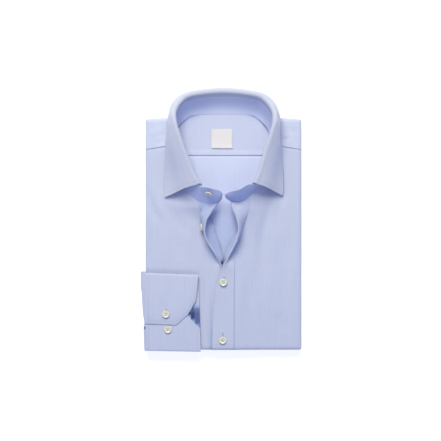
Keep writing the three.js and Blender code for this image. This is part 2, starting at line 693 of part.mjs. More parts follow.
const seatLift = SEAM_GAP + BUTTON_THICKNESS / 2;
const cuffSeat = CUFF_WALL / 2 + seatLift;
const buttonPlaces = table(['name', 'x', 'y', 'z', 'nx', 'ny', 'nz'], [
  ['button_band', -22.3, 60.2, 50.4, -0.32, -0.88, 0.35],
  ['button_placket_1', -33.1, 10.4, 35, -0.97, -0.16, 0.18],
  ['button_placket_2', -0.3, -72.2, stripLevel(-72.2) + INTERLINED / 2 + seatLift + 0.7, 0, 0, 1],
  ['button_placket_3', -1.2, -159, stripLevel(-159) + INTERLINED / 2 + seatLift + 0.1, 0, 0, 1],
  ['button_cuff_1', -86.3, -119.7, CUFF_OVER_LEVEL + CUFF_OVER_SWELL + cuffSeat, 0, 0, 1],
  ['button_cuff_2', -83.3, -142.9, CUFF_UNDER_LEVEL + CUFF_UNDER_SWELL + cuffSeat, 0, 0, 1],
]);

// Assembly

const shirt = new THREE.Group();

function addPiece(name, geometry, colour, roughness = 0.85) {
  const material = new THREE.MeshStandardMaterial({ color: colour, roughness, metalness: 0 });
  const mesh = new THREE.Mesh(geometry, material);
  mesh.name = name;
  shirt.add(mesh);
  return mesh;
}

addPiece('folded_layers', hiddenLayers(), colours.shirting);
addPiece('back', clothWall(backPanel(), CLOTH), colours.inside);
const yoke = [insideYoke(), shoulderPart(-1), shoulderPart(1)]
  .map((grid) => toManifold(clothWall(grid, CLOTH)))
  .reduce((whole, part) => whole.add(part));
addPiece('yoke', fromManifold(yoke), colours.inside);
addPiece('neck_label', clothWall(neckLabel(), LABEL_WALL), colours.label);
addPiece('front_button_side', clothWall(frontPanel(-1), CLOTH), colours.shirting);
addPiece('front_buttonhole_side', clothWall(frontPanel(1), CLOTH), colours.shirting);
addPiece('placket_button_side', clothWall(stripGrid(-1), INTERLINED), colours.shirting);
addPiece('placket_buttonhole_side', clothWall(stripGrid(1), INTERLINED), colours.shirting);
addPiece('collar_band', clothWall(bandGrid, INTERLINED), colours.collar);
addPiece('collar_leaf', clothWall(leafGrid, INTERLINED), colours.collar);
addPiece('sleeve', clothWall(sleeveGrid(), SLEEVE_WALL), colours.shirting);
addPiece('cuff', clothWall(cuffStations.map(cuffSection), CUFF_WALL), colours.shirting);

for (const place of buttonPlaces) {
  const button = addPiece(place.name, buttonGeometry(), colours.button, 0.35);
  button.position.set(place.x, place.y, place.z);
  button.quaternion.setFromUnitVectors(vec(0, 1, 0), vec(place.nx, place.ny, place.nz).normalize());
}

export default shirt;
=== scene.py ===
"""A light blue long sleeve dress shirt, folded flat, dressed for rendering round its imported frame."""
import math
import bpy
import bmesh
import numpy as np
from mathutils import Matrix, Vector


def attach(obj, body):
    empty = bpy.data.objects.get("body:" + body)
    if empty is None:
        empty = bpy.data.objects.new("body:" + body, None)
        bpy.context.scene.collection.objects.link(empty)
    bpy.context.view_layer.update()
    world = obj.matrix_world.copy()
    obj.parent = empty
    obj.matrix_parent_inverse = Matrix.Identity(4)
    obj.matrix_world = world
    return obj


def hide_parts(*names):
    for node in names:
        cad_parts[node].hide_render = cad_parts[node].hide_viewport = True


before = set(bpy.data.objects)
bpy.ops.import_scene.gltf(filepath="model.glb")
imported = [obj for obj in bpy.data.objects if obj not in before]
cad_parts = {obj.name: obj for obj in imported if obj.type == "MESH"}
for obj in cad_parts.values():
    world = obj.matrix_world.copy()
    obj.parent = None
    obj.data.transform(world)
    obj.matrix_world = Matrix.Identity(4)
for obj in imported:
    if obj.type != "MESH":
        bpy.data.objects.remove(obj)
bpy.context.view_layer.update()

bl_info = {
    "name": "Folded Dress Shirt",
    "version": (1, 0, 0),
    "blender": (4, 5, 0),
    "location": "3D View > Sidebar > Shirt",
    "description": "Builds the cloth, sewing and buttons of a folded dress shirt",
    "category": "Add Mesh",
}

MM = 0.001
BODY = "root"

# Driving sizes of the folded packet, in millimetres, as the frame has them
HALF_WIDTH = 117.5
TOP_EDGE = 173.2
BOTTOM_EDGE = -174.3
LAYERS_TOP = 17.6
BACK_LEVEL = 18.8
FRONT_LEVEL = 22.3
YOKE_LIFT = 0.7
CLOTH = 1.6
INTERLINED = 2.0
CUFF_WALL = 1.8
SLEEVE_WALL = 3.0
TUCK = 1.4
FOLD_RADIUS = 4.0
BAND_TUCK = 1.0
BAND_BELLY = 4.0
BAND_ROLL = 3.4
LEAF_FLARE = 3.0
LEAF_BOW = 1.8


def table(names, rows):
    """A table as one array for each named column."""
    return {name: np.array([row[i] for row in rows], float) for i, name in enumerate(names.split())}


# Collar sections from the left front end of the leaf, round the back, to the right front end
COLLAR = table("seam_x seam_y seam_z fold_x fold_y fold_z edge_x edge_y edge_z stand flare bulge", [
    [-38, 50, 33, -34.5, 75, 54, -88, 55.2, 25.6, 0.86, 0.5, 4.2],
    [-55, 66, 31, -43.8, 91, 55.5, -88, 75, 26.4, 0.82, 0.5, 4.6],
    [-71.5, 100, 28.5, -56.8, 122.5, 58.5, -87.3, 105, 27, 0.77, 0.45, 4.8],
    [-76.5, 135, 27, -68.3, 154, 62, -85.8, 137, 27, 0.73, 0.35, 3.4],
    [-73, 153, 26, -73, 171, 62, -84, 156, 27, 0.72, 0.25, 2.4],
    [-68, 163, 24, -73.2, 184.4, 57.5, -82.6, 174.5, 24.5, 0.72, 0.1, 2],
    [-57, 173.2, 22, -65.2, 199.2, 52, -77, 192, 12, 0.72, 0, 3],
    [-43, 179.8, 21.2, -47.8, 210, 49.5, -55, 204, 5, 0.72, 0, 3],
    [0, 181.2, 21, 0, 215.5, 45, 0, 209.5, 3, 0.72, 0, 3],
    [40, 180, 21.2, 47, 210, 49.5, 56, 204, 5, 0.72, 0, 3],
    [53.5, 173, 22, 65.2, 199.6, 52, 77, 192.5, 12, 0.72, 0, 3],
    [65, 161.5, 24, 75.5, 183.4, 57.5, 83, 174.5, 24.5, 0.72, 0, 2],
    [71, 150, 26, 76, 167.5, 62, 84, 155, 27, 0.72, 0.1, 2.4],
    [76.3, 133, 27, 71.5, 152, 62, 85.3, 137, 27, 0.73, 0.2, 3.4],
    [72.5, 100, 28.5, 61.2, 121.5, 58.5, 88, 105, 27, 0.77, 0.25, 4.8],
    [57, 74, 31.5, 51.5, 92, 56, 89.5, 77, 26.4, 0.82, 0.35, 4.6],
    [41.5, 61, 33.5, 45, 76.5, 55, 88.5, 58, 25.6, 0.86, 0.45, 4.2],
])
BAND_END = {
    -1: table("seam_x seam_y seam_z top_x top_y top_z roll", [
        [-25, 47, 32, -24, 70.3, 55, -0.5],
        [-13, 47.5, 32, -12, 67, 53.5, 0.8],
        [-6.5, 49.5, 32.5, -4.8, 64.6, 50, 1],
        [-2.6, 54, 35.5, -1.3, 60, 44.5, 0.25],
    ]),
    1: table("seam_x seam_y seam_z top_x top_y top_z roll", [
        [33, 52.5, 33, 35.5, 74.5, 55.5, 0.4],
        [23, 49, 32.5, 23.5, 67, 55, 0.8],
        [11, 50.5, 34, 10.5, 63.8, 51, 1],
        [3.4, 55.5, 39, 1.6, 60, 45.5, 0.25],
    ]),
}

# Front strips: sections across the strip at a height y, from the panel to the free edge
STRIP_COLUMNS = "y seam_x seam_z low_x low_z high_x high_z edge_x edge_z"
STRIP = {
    -1: table(STRIP_COLUMNS, [
        [-163.5, -16.8, 22.9, -5.6, 23.2, 5.6, 23.5, 16.8, 23.6],
        [-115, -17.2, 22.9, -6, 23.2, 5, 23.5, 16.2, 23.7],
        [-80, -19, 22.9, -9, 23.2, 1, 23.7, 11, 24.2],
        [-62, -20, 22.9, -12, 23.2, -4, 24, 4, 25],
        [-50, -20.5, 22.9, -12, 23.4, -5, 24.6, -1.4, 26.6],
        [-40, -19.5, 23, -2, 24, -5.5, 27.5, -6.8, 30.5],
        [-33, -17.5, 23.5, -1.4, 24.8, -9, 28.5, -10.4, 33],
        [-22, -10.5, 24, -4.5, 25.2, -17.5, 30, -17, 38],
        [-10, -9, 24.6, -8, 26, -25, 32, -24, 43],
        [1, -13, 24.8, -12.5, 26, -27.8, 33, -27.8, 46],
        [10, -16, 25, -16.5, 26.5, -29.6, 34.5, -27.8, 47],
        [21, -21.2, 25.3, -24.5, 28.8, -32.5, 36, -25, 46.5],
        [31, -30, 27.6, -32.2, 31, -33.8, 36.5, -18.8, 44.5],
        [40, -36.3, 31, -30, 31.5, -22, 35, -13, 38.5],
    ]),
    1: table(STRIP_COLUMNS, [
        [-163.5, 16.8, 26, 5.6, 26.3, -5.6, 26.5, -17, 26.6],
        [-115, 16.8, 26, 6, 26.4, -4.5, 26.8, -14.6, 27],
        [-82, 16.8, 26, 7, 26.9, -2.5, 27.5, -11.6, 28],
        [-62, 16.9, 26.2, 9, 27.4, 1, 28.2, -6.2, 28.8],
        [-50, 17, 26.4, 11, 27.8, 5, 29, -1.7, 30.4],
        [-36, 18, 26, 3.4, 28.2, 6.2, 30.5, 5.9, 34],
        [-23, 18, 25.5, 5.4, 27.4, 13.2, 32, 12.8, 39.5],
        [-9, 19.5, 25.5, 11.2, 27, 20.8, 34.5, 19, 45],
        [5, 27, 26, 24, 28, 26, 37.5, 22.3, 48],
        [15.5, 31.5, 27, 29.5, 31, 26, 40, 21.8, 49.5],
        [26, 34.8, 28.5, 31, 33, 25.5, 39.5, 18.6, 46.5],
        [37, 38, 30.5, 31, 33, 22.5, 37.5, 13.4, 42],
    ]),
}

# How cloth turns over an outer edge of the packet, from the tucked end up to the flat
EDGE_TURN = table("inset drop", [[1.6, 13.6], [0.2, 10], [0, 6.4], [0.3, 3.2], [1.6, 0.9], [5, 0]])
TURN_FLAT = 5.0
CORNER_ROUNDING = 3.5
UNDER_STRIP_INSET = 3.5

# Outline of the hidden layers level by level: soft folds above each other
LAYER_RINGS = table("level inset", [
    [0, 6], [0.9, 3.2], [2.4, 2.2], [3.9, 2.6], [4.8, 4.6], [5.7, 5.6], [7.5, 6.9],
    [9.5, 8], [12, 7.4], [14.5, 6.8], [16.6, 8], [LAYERS_TOP, 11],
])
LAYER_CORNER = 26.0

# Shallow creases: from one end to the other, half width and height
CREASE_COLUMNS = "x0 y0 x1 y1 width height"
FRONT_CREASES = table(CREASE_COLUMNS, [
    [-115, 70, -98, 22, 6.5, -1.4],
    [-106, 72, -88, 24, 6, 1.0],
    [-96, 112, -92, 66, 7, -0.6],
    [-84, 44, -52, 2, 8, -0.7],
    [-70, 30, -62, -34, 9, -0.9],
    [-48, 14, -50, -48, 7, 0.6],
    [-84, 8, -86, -50, 10, 0.6],
    [-104, 4, -108, -52, 8, -0.5],
    [-24, -64, -23, -168, 6, -0.8],
    [93, 66, 80, 10, 7, -1.2],
    [72, 50, 60, -62, 8, -1.8],
    [50, 24, 46, -44, 7, 0.8],
    [101, 100, 107, 18, 7, -0.6],
    [92, -8, 98, -112, 10, -0.8],
    [74, -56, 70, -150, 12, 0.6],
    [44, -66, 40, -150, 8, -0.6],
    [26, -70, 27, -150, 6, 0.4],
    [84, -120, 92, -144, 8, -0.9],
    [108, -40, 104, -150, 9, 0.5],
])
YOKE_CREASES = table(CREASE_COLUMNS, [
    [-102, 136, -88, 143, 4, -0.6],
    [-96, 148, -86, 150, 4, -0.5],
    [-112, 150, -96, 158, 5, 0.5],
    [88, 141, 100, 146, 3, -0.7],
    [92, 158, 110, 154, 5, -0.5],
])
BACK_CREASES = table(CREASE_COLUMNS, [
    [-44, 96, -34, 30, 7, -0.5],
    [42, 92, 34, 34, 8, -0.5],
    [14, 110, 12, 44, 9, 0.4],
    [-10, 30, -4, -40, 7, -0.5],
])

YOKE_SEAM = 118.6
YOKE_INSIDE_HALF = 92.0
YOKE_NECK_RISE = 1.6
YOKE_LAP = 0.9
SEAM_PRESS = 0.6
LABEL = {"left": -18.2, "right": 13.3, "low": 129.0, "high": 158.3, "wall": 0.6}

# Cuff on the left front
CUFF = {
    "left": -117.2, "top_left": -57.7, "top_right": -60.6, "bottom_left": -175.2, "bottom_right": -176.6,
    "right_at_top": -37.7, "right_at_mitre": -41.2, "right_at_bottom": -34.1, "mitre_drop": 39.0,
    "back": 24.8, "under": 26.9, "over": 29.2, "under_swell": 0.2, "over_swell": 0.6, "over_press": 0.8,
}
CUFF_CREASES = table(CREASE_COLUMNS, [
    [-78, -74, -77, -106, 5, -0.55],
    [-96, -80, -92, -104, 6, 0.3],
    [-58, -72, -52, -98, 6, -0.3],
    [-88, -128, -90, -136, 4, -0.3],
])
CUFF_THINNER = 0.5
VENT_END = -140.6
CUFF_DIP = 1.5
CUFF_DIP_REACH = 5.0
CUFF_OVER_END = table("x y", [[-117, -134.4], [-70.7, -136.2], [-53.7, -120.9], [-41.2, -99.5]])
CUFF_UNDER_END = table("x y", [[-117, -108], [-70, -106], [-53.7, -121.8], [-37, -141]])
SLEEVE_TURN = table("out level", [
    [0, 27], [2.4, 26.8], [4.6, 25.4], [6, 22.8], [6.6, 18], [6.4, 12], [5.6, 6.5], [3.6, 2.9],
])

# How far the sleeve stands out beside the cuff, from the cuff's upper fold down to its lower one
SLEEVE_REACH = table("share reach", [
    [0, 1], [0.2, 0.95], [0.26, 0.75], [0.4, 0.62], [0.55, 0.42],
    [0.64, 0.12], [0.7, 0.26], [0.78, 0.3], [1, 0.1],
])

BUTTONS = table("x y z nx ny nz turn", [
    [-22.3, 60.2, 50.4, -0.32, -0.88, 0.35, 10],
    [-33.1, 10.4, 35, -0.97, -0.16, 0.18, 35],
    [-0.3, -72.2, 30.95, 0, 0, 1, 20],
    [-1.2, -159, 29.1, 0, 0, 1, 50],
    [-86.3, -119.7, 31.8, 0, 0, 1, 8],
    [-83.3, -142.9, 29.2, 0, 0, 1, 32],
])
BUTTON_NAMES = ["button_band", "button_placket_1", "button_placket_2", "button_placket_3",
                "button_cuff_1", "button_cuff_2"]

BUTTON_PROFILE = [(0, -1.2), (3.4, -1.2), (4.6, -0.9), (5.3, -0.35), (5.5, 0.15), (5.4, 0.7), (5.05, 1.1),
                  (4.6, 1.2), (4.15, 1.02), (3.7, 0.62), (3.1, 0.42), (0, 0.36)]
BUTTON_PROFILE_RADIUS = 5.5
HOLE_PITCH = 2.6
HOLE_RADIUS = 0.75
THREAD_BAR = (3.4, 0.34, 0.5)
THREAD_BAR_SHIFTS = (-0.28, 0.0, 0.28)
BUTTONHOLE_LENGTH = 14.5
BUTTONHOLE_WIDTH = 1.7
BUTTONHOLE_LIFT = 0.9
SLIT_WIDTH = 0.2
STRIP_BUTTONHOLES = [(-0.3, -71), (-1.2, -157.8), (29.5, 22.8)]
CUFF_BUTTONHOLES = [(-86.3, -118.4)]
UP = (0, 0, 1)

# Painted shade: how deep the shade is that is painted into the cloth's colour where its own folds cast it:
# none is 0, nearly black is 1
BAND_SHADE = {-1: 0.15, 1: 0.26}
LEAF_SHADE = 0.12
FRONT_SHADE = 0.34
STRIP_SHADE = {-1: 0.26, 1: 0.06}
SLIT_SHADE = 0.27
SEAM_SHADE = 0.34
YOKE_SHADE = 0.85
BACK_SHADE = 0.24
# Colour factors of the painted shade: bluish where it is light, nearly black where it is deep
COOL_SHADE = (0.50, 0.60, 0.84)
DEEP_SHADE = (0.05, 0.09, 0.24)

# Painted light: lighter, tinted copies of the shirting's colour where the cloth is seen from inside and where
# it is interlined, standing in for the light that the cloth lets through and throws back there
INSIDE_PAINTED_LIGHT = (1.16, 1.17, 1.15)
YOKE_PAINTED_LIGHT = (1.07, 1.07, 1.06)
BAND_PAINTED_LIGHT = (1.11, 1.12, 1.16)
LEAF_PAINTED_LIGHT = (1.06, 1.035, 0.975)


def mix(a, b, t):
    return a + (b - a) * t


def unit(v):
    return v / np.linalg.norm(v, axis=-1, keepdims=True)


def dot(a, b):
    return (a * b).sum(axis=-1, keepdims=True)


def smooth(points, places):
    """A smooth curve through rows of numbers, at places counted in rows."""
    last = len(points) - 1
    i = np.clip(np.floor(places).astype(int), 0, last - 1)
    t = (places - i)[:, None]
    before, a = points[np.maximum(i - 1, 0)], points[i]
    b, after = points[i + 1], points[np.minimum(i + 2, last)]
    slope_a, slope_b, rise = (b - before) / 2, (after - a) / 2, a - b
    bend, twist = -3 * rise - 2 * slope_a - slope_b, 2 * rise + slope_a + slope_b
    return a + slope_a * t + bend * t**2 + twist * t**3


def resample(rows, count):
    """A table with its rows spread evenly along the smooth curve through them."""
    stack = np.stack(list(rows.values()), axis=1)
    out = smooth(stack, np.linspace(0, len(stack) - 1, count))
    return {name: out[:, i] for i, name in enumerate(rows)}


def points_of(rows, name):
    return np.stack([rows[f"{name}_x"], rows[f"{name}_y"], rows[f"{name}_z"]], axis=-1)


def across_curve(points, steps):
    """A centripetal curve through each row of points, as in the frame."""
    ends = [2 * points[:, :1] - points[:, 1:2], points, 2 * points[:, -1:] - points[:, -2:-1]]
    p = np.concatenate(ends, axis=1)
    gap = np.maximum(np.linalg.norm(np.diff(p, axis=1), axis=2) ** 0.5, 1e-4)[..., None]
    spans = points.shape[1] - 1
    out = []
    for place in np.linspace(0, spans, steps + 1):
        i = min(int(place), spans - 1)
        t = place - i
        a, b, c, d = (p[:, i + k] for k in range(4))
        g0, g1, g2 = (gap[:, i + k] for k in range(3))
        out_b = ((b - a) / g0 - (c - a) / (g0 + g1) + (c - b) / g1) * g1
        in_c = ((c - b) / g1 - (d - b) / (g1 + g2) + (d - c) / g2) * g1
        h = [2 * t**3 - 3 * t**2 + 1, t**3 - 2 * t**2 + t, -2 * t**3 + 3 * t**2, t**3 - t**2]
        out.append(h[0] * b + h[1] * out_b + h[2] * c + h[3] * in_c)
    return np.stack(out, axis=1)


def crease_height(creases, x, y):
    """Sum of the soft troughs and ridges at a place, each fading out at both ends."""
    total = np.zeros(np.shape(x))
    for x0, y0, x1, y1, width, height in zip(*creases.values()):
        length = math.hypot(x1 - x0, y1 - y0)
        ux, uy = (x1 - x0) / length, (y1 - y0) / length
        on = ((x - x0) * ux + (y - y0) * uy) / length
        off = ((x - x0) * -uy + (y - y0) * ux + 0.06 * length * np.sin(3.0 * on)) / width
        fade = np.exp(-(np.abs(on - 0.5) * 1.9) ** 4)
        total = total + height * np.exp(-off**2) * fade
    return total


# Collar

COLLAR_FINE = resample(COLLAR, 161)
CENTRE = np.array([0.0, 125.0, 0.0])


def leaf_grid(fall_steps=18):
    """Leaf sections: out of the band, over the rounded fold and down to the edge."""
    rows = COLLAR_FINE
    seam, fold, edge = (points_of(rows, name) for name in ("seam", "fold", "edge"))
    rise, fall = unit(fold - seam), unit(edge - fold)
    crest = unit(rise - fall)
    side = rise + fall
    side = side - crest * dot(side, crest)
    outward = unit((fold - CENTRE) * [1, 1, 0])
    side = unit(side + 0.6 * outward - crest * 0.6 * dot(outward, crest))
    middle = fold - crest * FOLD_RADIUS

    def arc(degrees):
        angle = math.radians(degrees)
        return middle + side * (FOLD_RADIUS * math.sin(angle)) + crest * (FOLD_RADIUS * math.cos(angle))

    start = seam + (fold - seam) * rows["stand"][:, None]
    end = arc(82)
    bulge = unit(side - fall * dot(side, fall))
    columns = [mix(start, arc(-82), t) for t in (0, 0.35, 0.7)]
    columns += [arc(degrees) for degrees in np.linspace(-82, 82, 11)]
    for t in np.linspace(0, 1, fall_steps + 1)[1:]:
        hanging = rows["bulge"][:, None] * math.sin(math.pi * t**0.8)
        flaring = LEAF_FLARE * math.sin(2 * math.pi * t)
        bow = np.array([0, LEAF_BOW * math.sin(math.pi * t) * t, 0])
        flare = rows["flare"][:, None]
        out_and_up = bulge * (1 - flare * [[0, 1, 0]])
        columns.append(mix(end, edge, t) + out_and_up * mix(hanging, flaring, flare) + bow * flare)
    return np.stack(columns, axis=1)


def band_sections():
    """Seam line, top line and belly of the band, from one rounded end to the other."""
    rows = {name: column[::2] for name, column in COLLAR_FINE.items()}
    seam, fold = points_of(rows, "seam"), points_of(rows, "fold")
    top = seam + (fold - seam) * rows["stand"][:, None]
    parts_seam, parts_top, parts_roll = [seam], [top], [np.zeros(len(seam))]
    places = np.linspace(0, 4, 33)
    for side, end in BAND_END.items():
        near = seam[0] if side < 0 else seam[-1]
        near_top = top[0] if side < 0 else top[-1]
        low = smooth(np.vstack([near, points_of(end, "seam")]), places)[1:]
        high = smooth(np.vstack([near_top, points_of(end, "top")]), places)[1:]
        curl = smooth(np.append(0, end["roll"])[:, None], places)[1:, 0]
        if side < 0:
            parts_seam.insert(0, low[::-1])
            parts_top.insert(0, high[::-1])
            parts_roll.insert(0, curl[::-1])
        else:
            parts_seam.append(low)
            parts_top.append(high)
            parts_roll.append(curl)
    seam, top = np.vstack(parts_seam), np.vstack(parts_top)
    count = len(seam)
    from_end = np.minimum(np.arange(count), count - 1 - np.arange(count))
    middle = np.clip((from_end - 38) / 12, 0, 1)
    return seam, top, BAND_BELLY * middle, BAND_ROLL * np.concatenate(parts_roll)


def band_grid(steps=12):
    seam, top, belly, roll = band_sections()
    rise = unit(top - seam)
    low, high = seam - rise * BAND_TUCK, top
    columns = []
    for t in np.linspace(0, 1, steps + 1):
        point = mix(low, high, t)
        point[:, 2] += (0.6 * roll - belly) * math.sin(math.pi * t)
        point[:, 1] -= 0.3 * roll * math.sin(math.pi * t)
        columns.append(point)
    return np.stack(columns, axis=1)


def band_shade(grid):
    """Painted shade: the band's two ends are darkened where they stand in the shade of the leaf."""
    in_front = np.clip((78 - grid[..., 1]) / 12, 0, 1)
    depth = np.where(grid[..., 0] > 0, BAND_SHADE[1], BAND_SHADE[-1])
    return depth * in_front * np.clip((np.abs(grid[..., 0] + 1) - 2) / 14, 0, 1)


def leaf_shade(grid):
    """Painted shade: the leaf is made a little darker between its roll and its outer edge, above its two
    points.
    """
    across = np.linspace(0, 1, grid.shape[1])[None, :]
    middle = np.sin(math.pi * np.clip((across - 0.2) / 0.9, 0, 1)) ** 0.7
    along = np.clip((grid[..., 1] - 72) / 30, 0, 1) * np.clip((150 - grid[..., 1]) / 30, 0, 1)
    return LEAF_SHADE * middle * along


# Body

STRIP_FINE = {side: resample(rows, 105) for side, rows in STRIP.items()}
SEAM_LINE = {
    -1: {name: COLLAR_FINE[f"seam_{name}"][:58] for name in "xyz"},
    1: {name: COLLAR_FINE[f"seam_{name}"][-58:][::-1] for name in "xyz"},
}


def front_limit(side, y):
    """Where a front panel stops at a height: at its strip, and above that at the collar seam."""
    line, strip = SEAM_LINE[side], STRIP_FINE[side]
    start = {name: column[0] for name, column in line.items()}
    heights = np.append(strip["y"], start["y"])
    strip_x = np.interp(y, heights, np.append(strip["seam_x"], start["x"]))
    strip_z = np.interp(y, heights, np.append(strip["seam_z"], start["z"]))
    low_x = strip_x - side * TUCK
    high_x = np.interp(y, line["y"], line["x"]) - side * TUCK
    high_z = np.interp(y, line["y"], line["z"])
    above = y >= start["y"]
    return np.where(above, high_x, low_x), np.where(above, high_z, strip_z)


def front_level(side, x, y):
    """Height of a front panel: flat, and lifted towards its strip and the collar."""
    limit_x, limit_z = front_limit(side, y)
    reach = mix(26, 9, np.clip((y - 45) / 30, 0, 1))
    away = np.abs(x - limit_x) / reach
    return FRONT_LEVEL + (limit_z - FRONT_LEVEL) * np.exp(-(away**1.6))


def shoulder_seam(x):
    return mix(127.3, 133.6, (HALF_WIDTH - np.abs(x)) / 40)


def top_edge(x):
    return TOP_EDGE + 2.4 * np.clip((HALF_WIDTH - np.abs(x)) / 34, 0, 1)


def turned(count=14):
    rows = resample(EDGE_TURN, count)
    return rows["inset"], rows["drop"]


def across_panel(side, flat_steps):
    """Columns of a panel: round the side fold, then over the top. Their start, drop and share of the flat."""
    inset, drop = turned()
    x = side * (HALF_WIDTH - CLOTH / 2 - inset)
    flat = np.arange(1, flat_steps + 1) / flat_steps
    return (np.append(x, np.full(flat_steps, x[-1])), np.append(drop, np.zeros(flat_steps)),
            np.append(np.zeros(len(x)), flat))


def cuff_dip(x, y):
    """How far a front gives way beside and under the cuff that lies on it."""
    share = (x - CUFF["left"]) / (CUFF["right_at_top"] - CUFF["left"])
    above = np.maximum(y - mix(CUFF["top_left"], CUFF["top_right"], share), 0)
    drop = (CUFF["top_right"] - y) / (CUFF["top_right"] - CUFF["bottom_right"])
    beside = np.maximum(x - mix(CUFF["right_at_top"], CUFF["right_at_bottom"], np.clip(drop, 0, 1)), 0)
    return CUFF_DIP * np.exp(-(np.hypot(above, beside) / CUFF_DIP_REACH) ** 1.5)


def joined_drop(a, b):
    return np.cbrt(a**3 + b**3)


def corner_pull(a, b):
    return CORNER_ROUNDING * np.minimum(a, 8) * np.minimum(b, 8) / 64


def front_grid(side, flat_steps=78, length_steps=150):
    edge = BOTTOM_EDGE + CLOTH / 2
    inset, turn_drop = turned()
    level_y = np.append(edge + inset, np.full(length_steps, edge + TURN_FLAT))[:, None]
    level_drop = np.append(turn_drop, np.zeros(length_steps))[:, None]
    up = np.append(np.zeros(len(inset)), np.arange(1, length_steps + 1) / length_steps)[:, None]
    start, drop, flat = (column[None, :] for column in across_panel(side, flat_steps))
    guess = mix(level_y, shoulder_seam(start) + TUCK, up)
    tuck = 2.6 * np.clip((-60 - guess) / 60, 0, 1) if side < 0 else 0.0
    x = mix(start - side * tuck, front_limit(side, guess)[0], flat)
    y = mix(level_y, shoulder_seam(x) + TUCK, up)
    x = mix(start - side * tuck, front_limit(side, y)[0], flat)
    z = front_level(side, x, y) + crease_height(FRONT_CREASES, x, y)
    z = z - SEAM_PRESS * np.exp(-((y - shoulder_seam(x)) / 2.5) ** 2)
    if side < 0:
        z = z - cuff_dip(x, y)
    corner = corner_pull(drop, level_drop)
    return np.stack([x - side * corner, y + corner, z - joined_drop(drop, level_drop)], axis=-1)


def front_shade(grid):
    """Painted shade: the front is darkened close beside the free edge of the strip that is buttoned over it.
    """
    x, y = grid[..., 0], grid[..., 1]
    limit = np.interp(y, STRIP_FINE[1]["y"], STRIP_FINE[1]["edge_x"])
    beside = np.exp(-(np.clip(limit - x, 0, 30) / 4) ** 1.4)
    return np.where(x < 0, FRONT_SHADE * beside * np.clip((-58 - y) / 12, 0, 1), 0.0)


def strip_grid(side, steps=26):
    rows = STRIP_FINE[side]
    names = ("seam", "low", "high", "edge")
    body = np.stack([np.stack([rows[f"{n}_x"], rows["y"], rows[f"{n}_z"]], axis=-1) for n in names], axis=1)
    inset, drop = turned()
    under = UNDER_STRIP_INSET if side < 0 else 0.0
    wrap = np.repeat(body[:1], len(inset) - 1, axis=0)
    wrap[:, :, 1] = (BOTTOM_EDGE + INTERLINED / 2 + under + inset[:-1])[:, None]
    wrap[:, :, 2] -= drop[:-1, None]
    start = np.array([SEAM_LINE[side][name][0] for name in "xyz"])
    top = np.vstack([start, points_of(BAND_END[side], "seam")[:3]]) + [0, -1.1, -0.7]
    neck = [mix(body[-1], top, t) for t in (0.35, 0.7, 1.0)]
    return across_curve(np.concatenate([wrap, body, np.stack(neck)]), steps)


def strip_shade(grid, side):
    """Painted shade: a strip is darkened near the collar, inside the open slit and in a line along the upper
    seam.
    """
    x, y = grid[..., 0], grid[..., 1]
    column = np.arange(grid.shape[1])[None, :]
    near_collar = STRIP_SHADE[side] * np.clip((y + 20) / 50, 0, 1)
    towards_middle = (x[:, -1:] - x) * side
    in_slit = np.clip((y + 50) / 6, 0, 1) * np.clip((30 - y) / 14, 0, 1)
    turned_in = SLIT_SHADE * np.clip(towards_middle / 1.5, 0, 1) * in_slit
    at_seam = SEAM_SHADE * np.clip(1.6 - column, 0, 1) * np.clip((-30 - y) / 20, 0, 1) * (x > 0)
    return np.maximum(np.maximum(near_collar, turned_in), at_seam)


def shoulder_grid(side, flat_steps=30, length_steps=44):
    inset, turn_drop = turned()
    level_inset = np.append(np.full(length_steps, TURN_FLAT), inset[::-1])[:, None]
    level_drop = np.append(np.zeros(length_steps), turn_drop[::-1])[:, None]
    up = np.append(np.arange(length_steps) / length_steps, np.ones(len(inset)))[:, None]
    start, drop, flat = (column[None, :] for column in across_panel(side, flat_steps))

    def height_on_shirt(x):
        return mix(shoulder_seam(x), top_edge(x) - CLOTH / 2 - level_inset, up)

    at_neck = np.minimum(height_on_shirt(np.full((1, 1), side * 76.0)), 158)
    line = SEAM_LINE[side]
    limit = np.interp(at_neck, line["y"], line["x"]) - side * TUCK
    neck_z = np.interp(at_neck, line["y"], line["z"])
    x = mix(start, limit, flat)
    base = FRONT_LEVEL + YOKE_LIFT
    z = base + (neck_z - base) * np.exp(-((np.abs(x - limit) / 9) ** 1.6))
    y = height_on_shirt(x)
    z = z + crease_height(YOKE_CREASES, x, y)
    corner = corner_pull(drop, level_drop)
    return np.stack([x - side * corner, y - corner, z - joined_drop(drop, level_drop)], axis=-1)


def inside_yoke_grid(rows=48, columns=120):
    x = np.linspace(-YOKE_INSIDE_HALF, YOKE_INSIDE_HALF, columns)[None, :]
    up = np.linspace(0, 1, rows)[:, None]
    near_neck = np.clip((66 - np.abs(x)) / 8, 0, 1)
    middle = slice(44, 117)
    neck = np.interp(np.clip(x, -66, 63), COLLAR_FINE["seam_x"][middle], COLLAR_FINE["seam_y"][middle]) + 0.6
    top = mix(top_edge(x) - CLOTH / 2, neck, near_neck)
    y = mix(YOKE_SEAM, top, up)
    lap = YOKE_LAP * np.clip((YOKE_SEAM + 7 - y) / 7, 0, 1) ** 0.5
    return np.stack([x + 0 * y, y, BACK_LEVEL + lap + YOKE_NECK_RISE * near_neck * up**3], axis=-1)


def yoke_shade(grid):
    """Painted shade: dark crescents where the band stands on the yoke at both sides of the neck."""
    out = np.abs(grid[..., 0] + 1)
    below_neck = grid[-1:, :, 1] - grid[..., 1]
    inside = (out < 66) & (grid[..., 2] < FRONT_LEVEL - YOKE_LIFT)
    return YOKE_SHADE * inside * np.clip((out - 34) / 12, 0, 1) * np.exp(-((below_neck / 3.2) ** 2))


def back_grid():
    x = np.linspace(-104, 104, 105)[None, :]
    y = np.linspace(-84, YOKE_SEAM + 4, 102)[:, None]
    tucked = 0.7 * np.clip((y - YOKE_SEAM + 3) / 3, 0, 1)
    z = BACK_LEVEL + crease_height(BACK_CREASES, x, y) - tucked
    return np.stack([x + 0 * y, y + 0 * x, z], axis=-1)


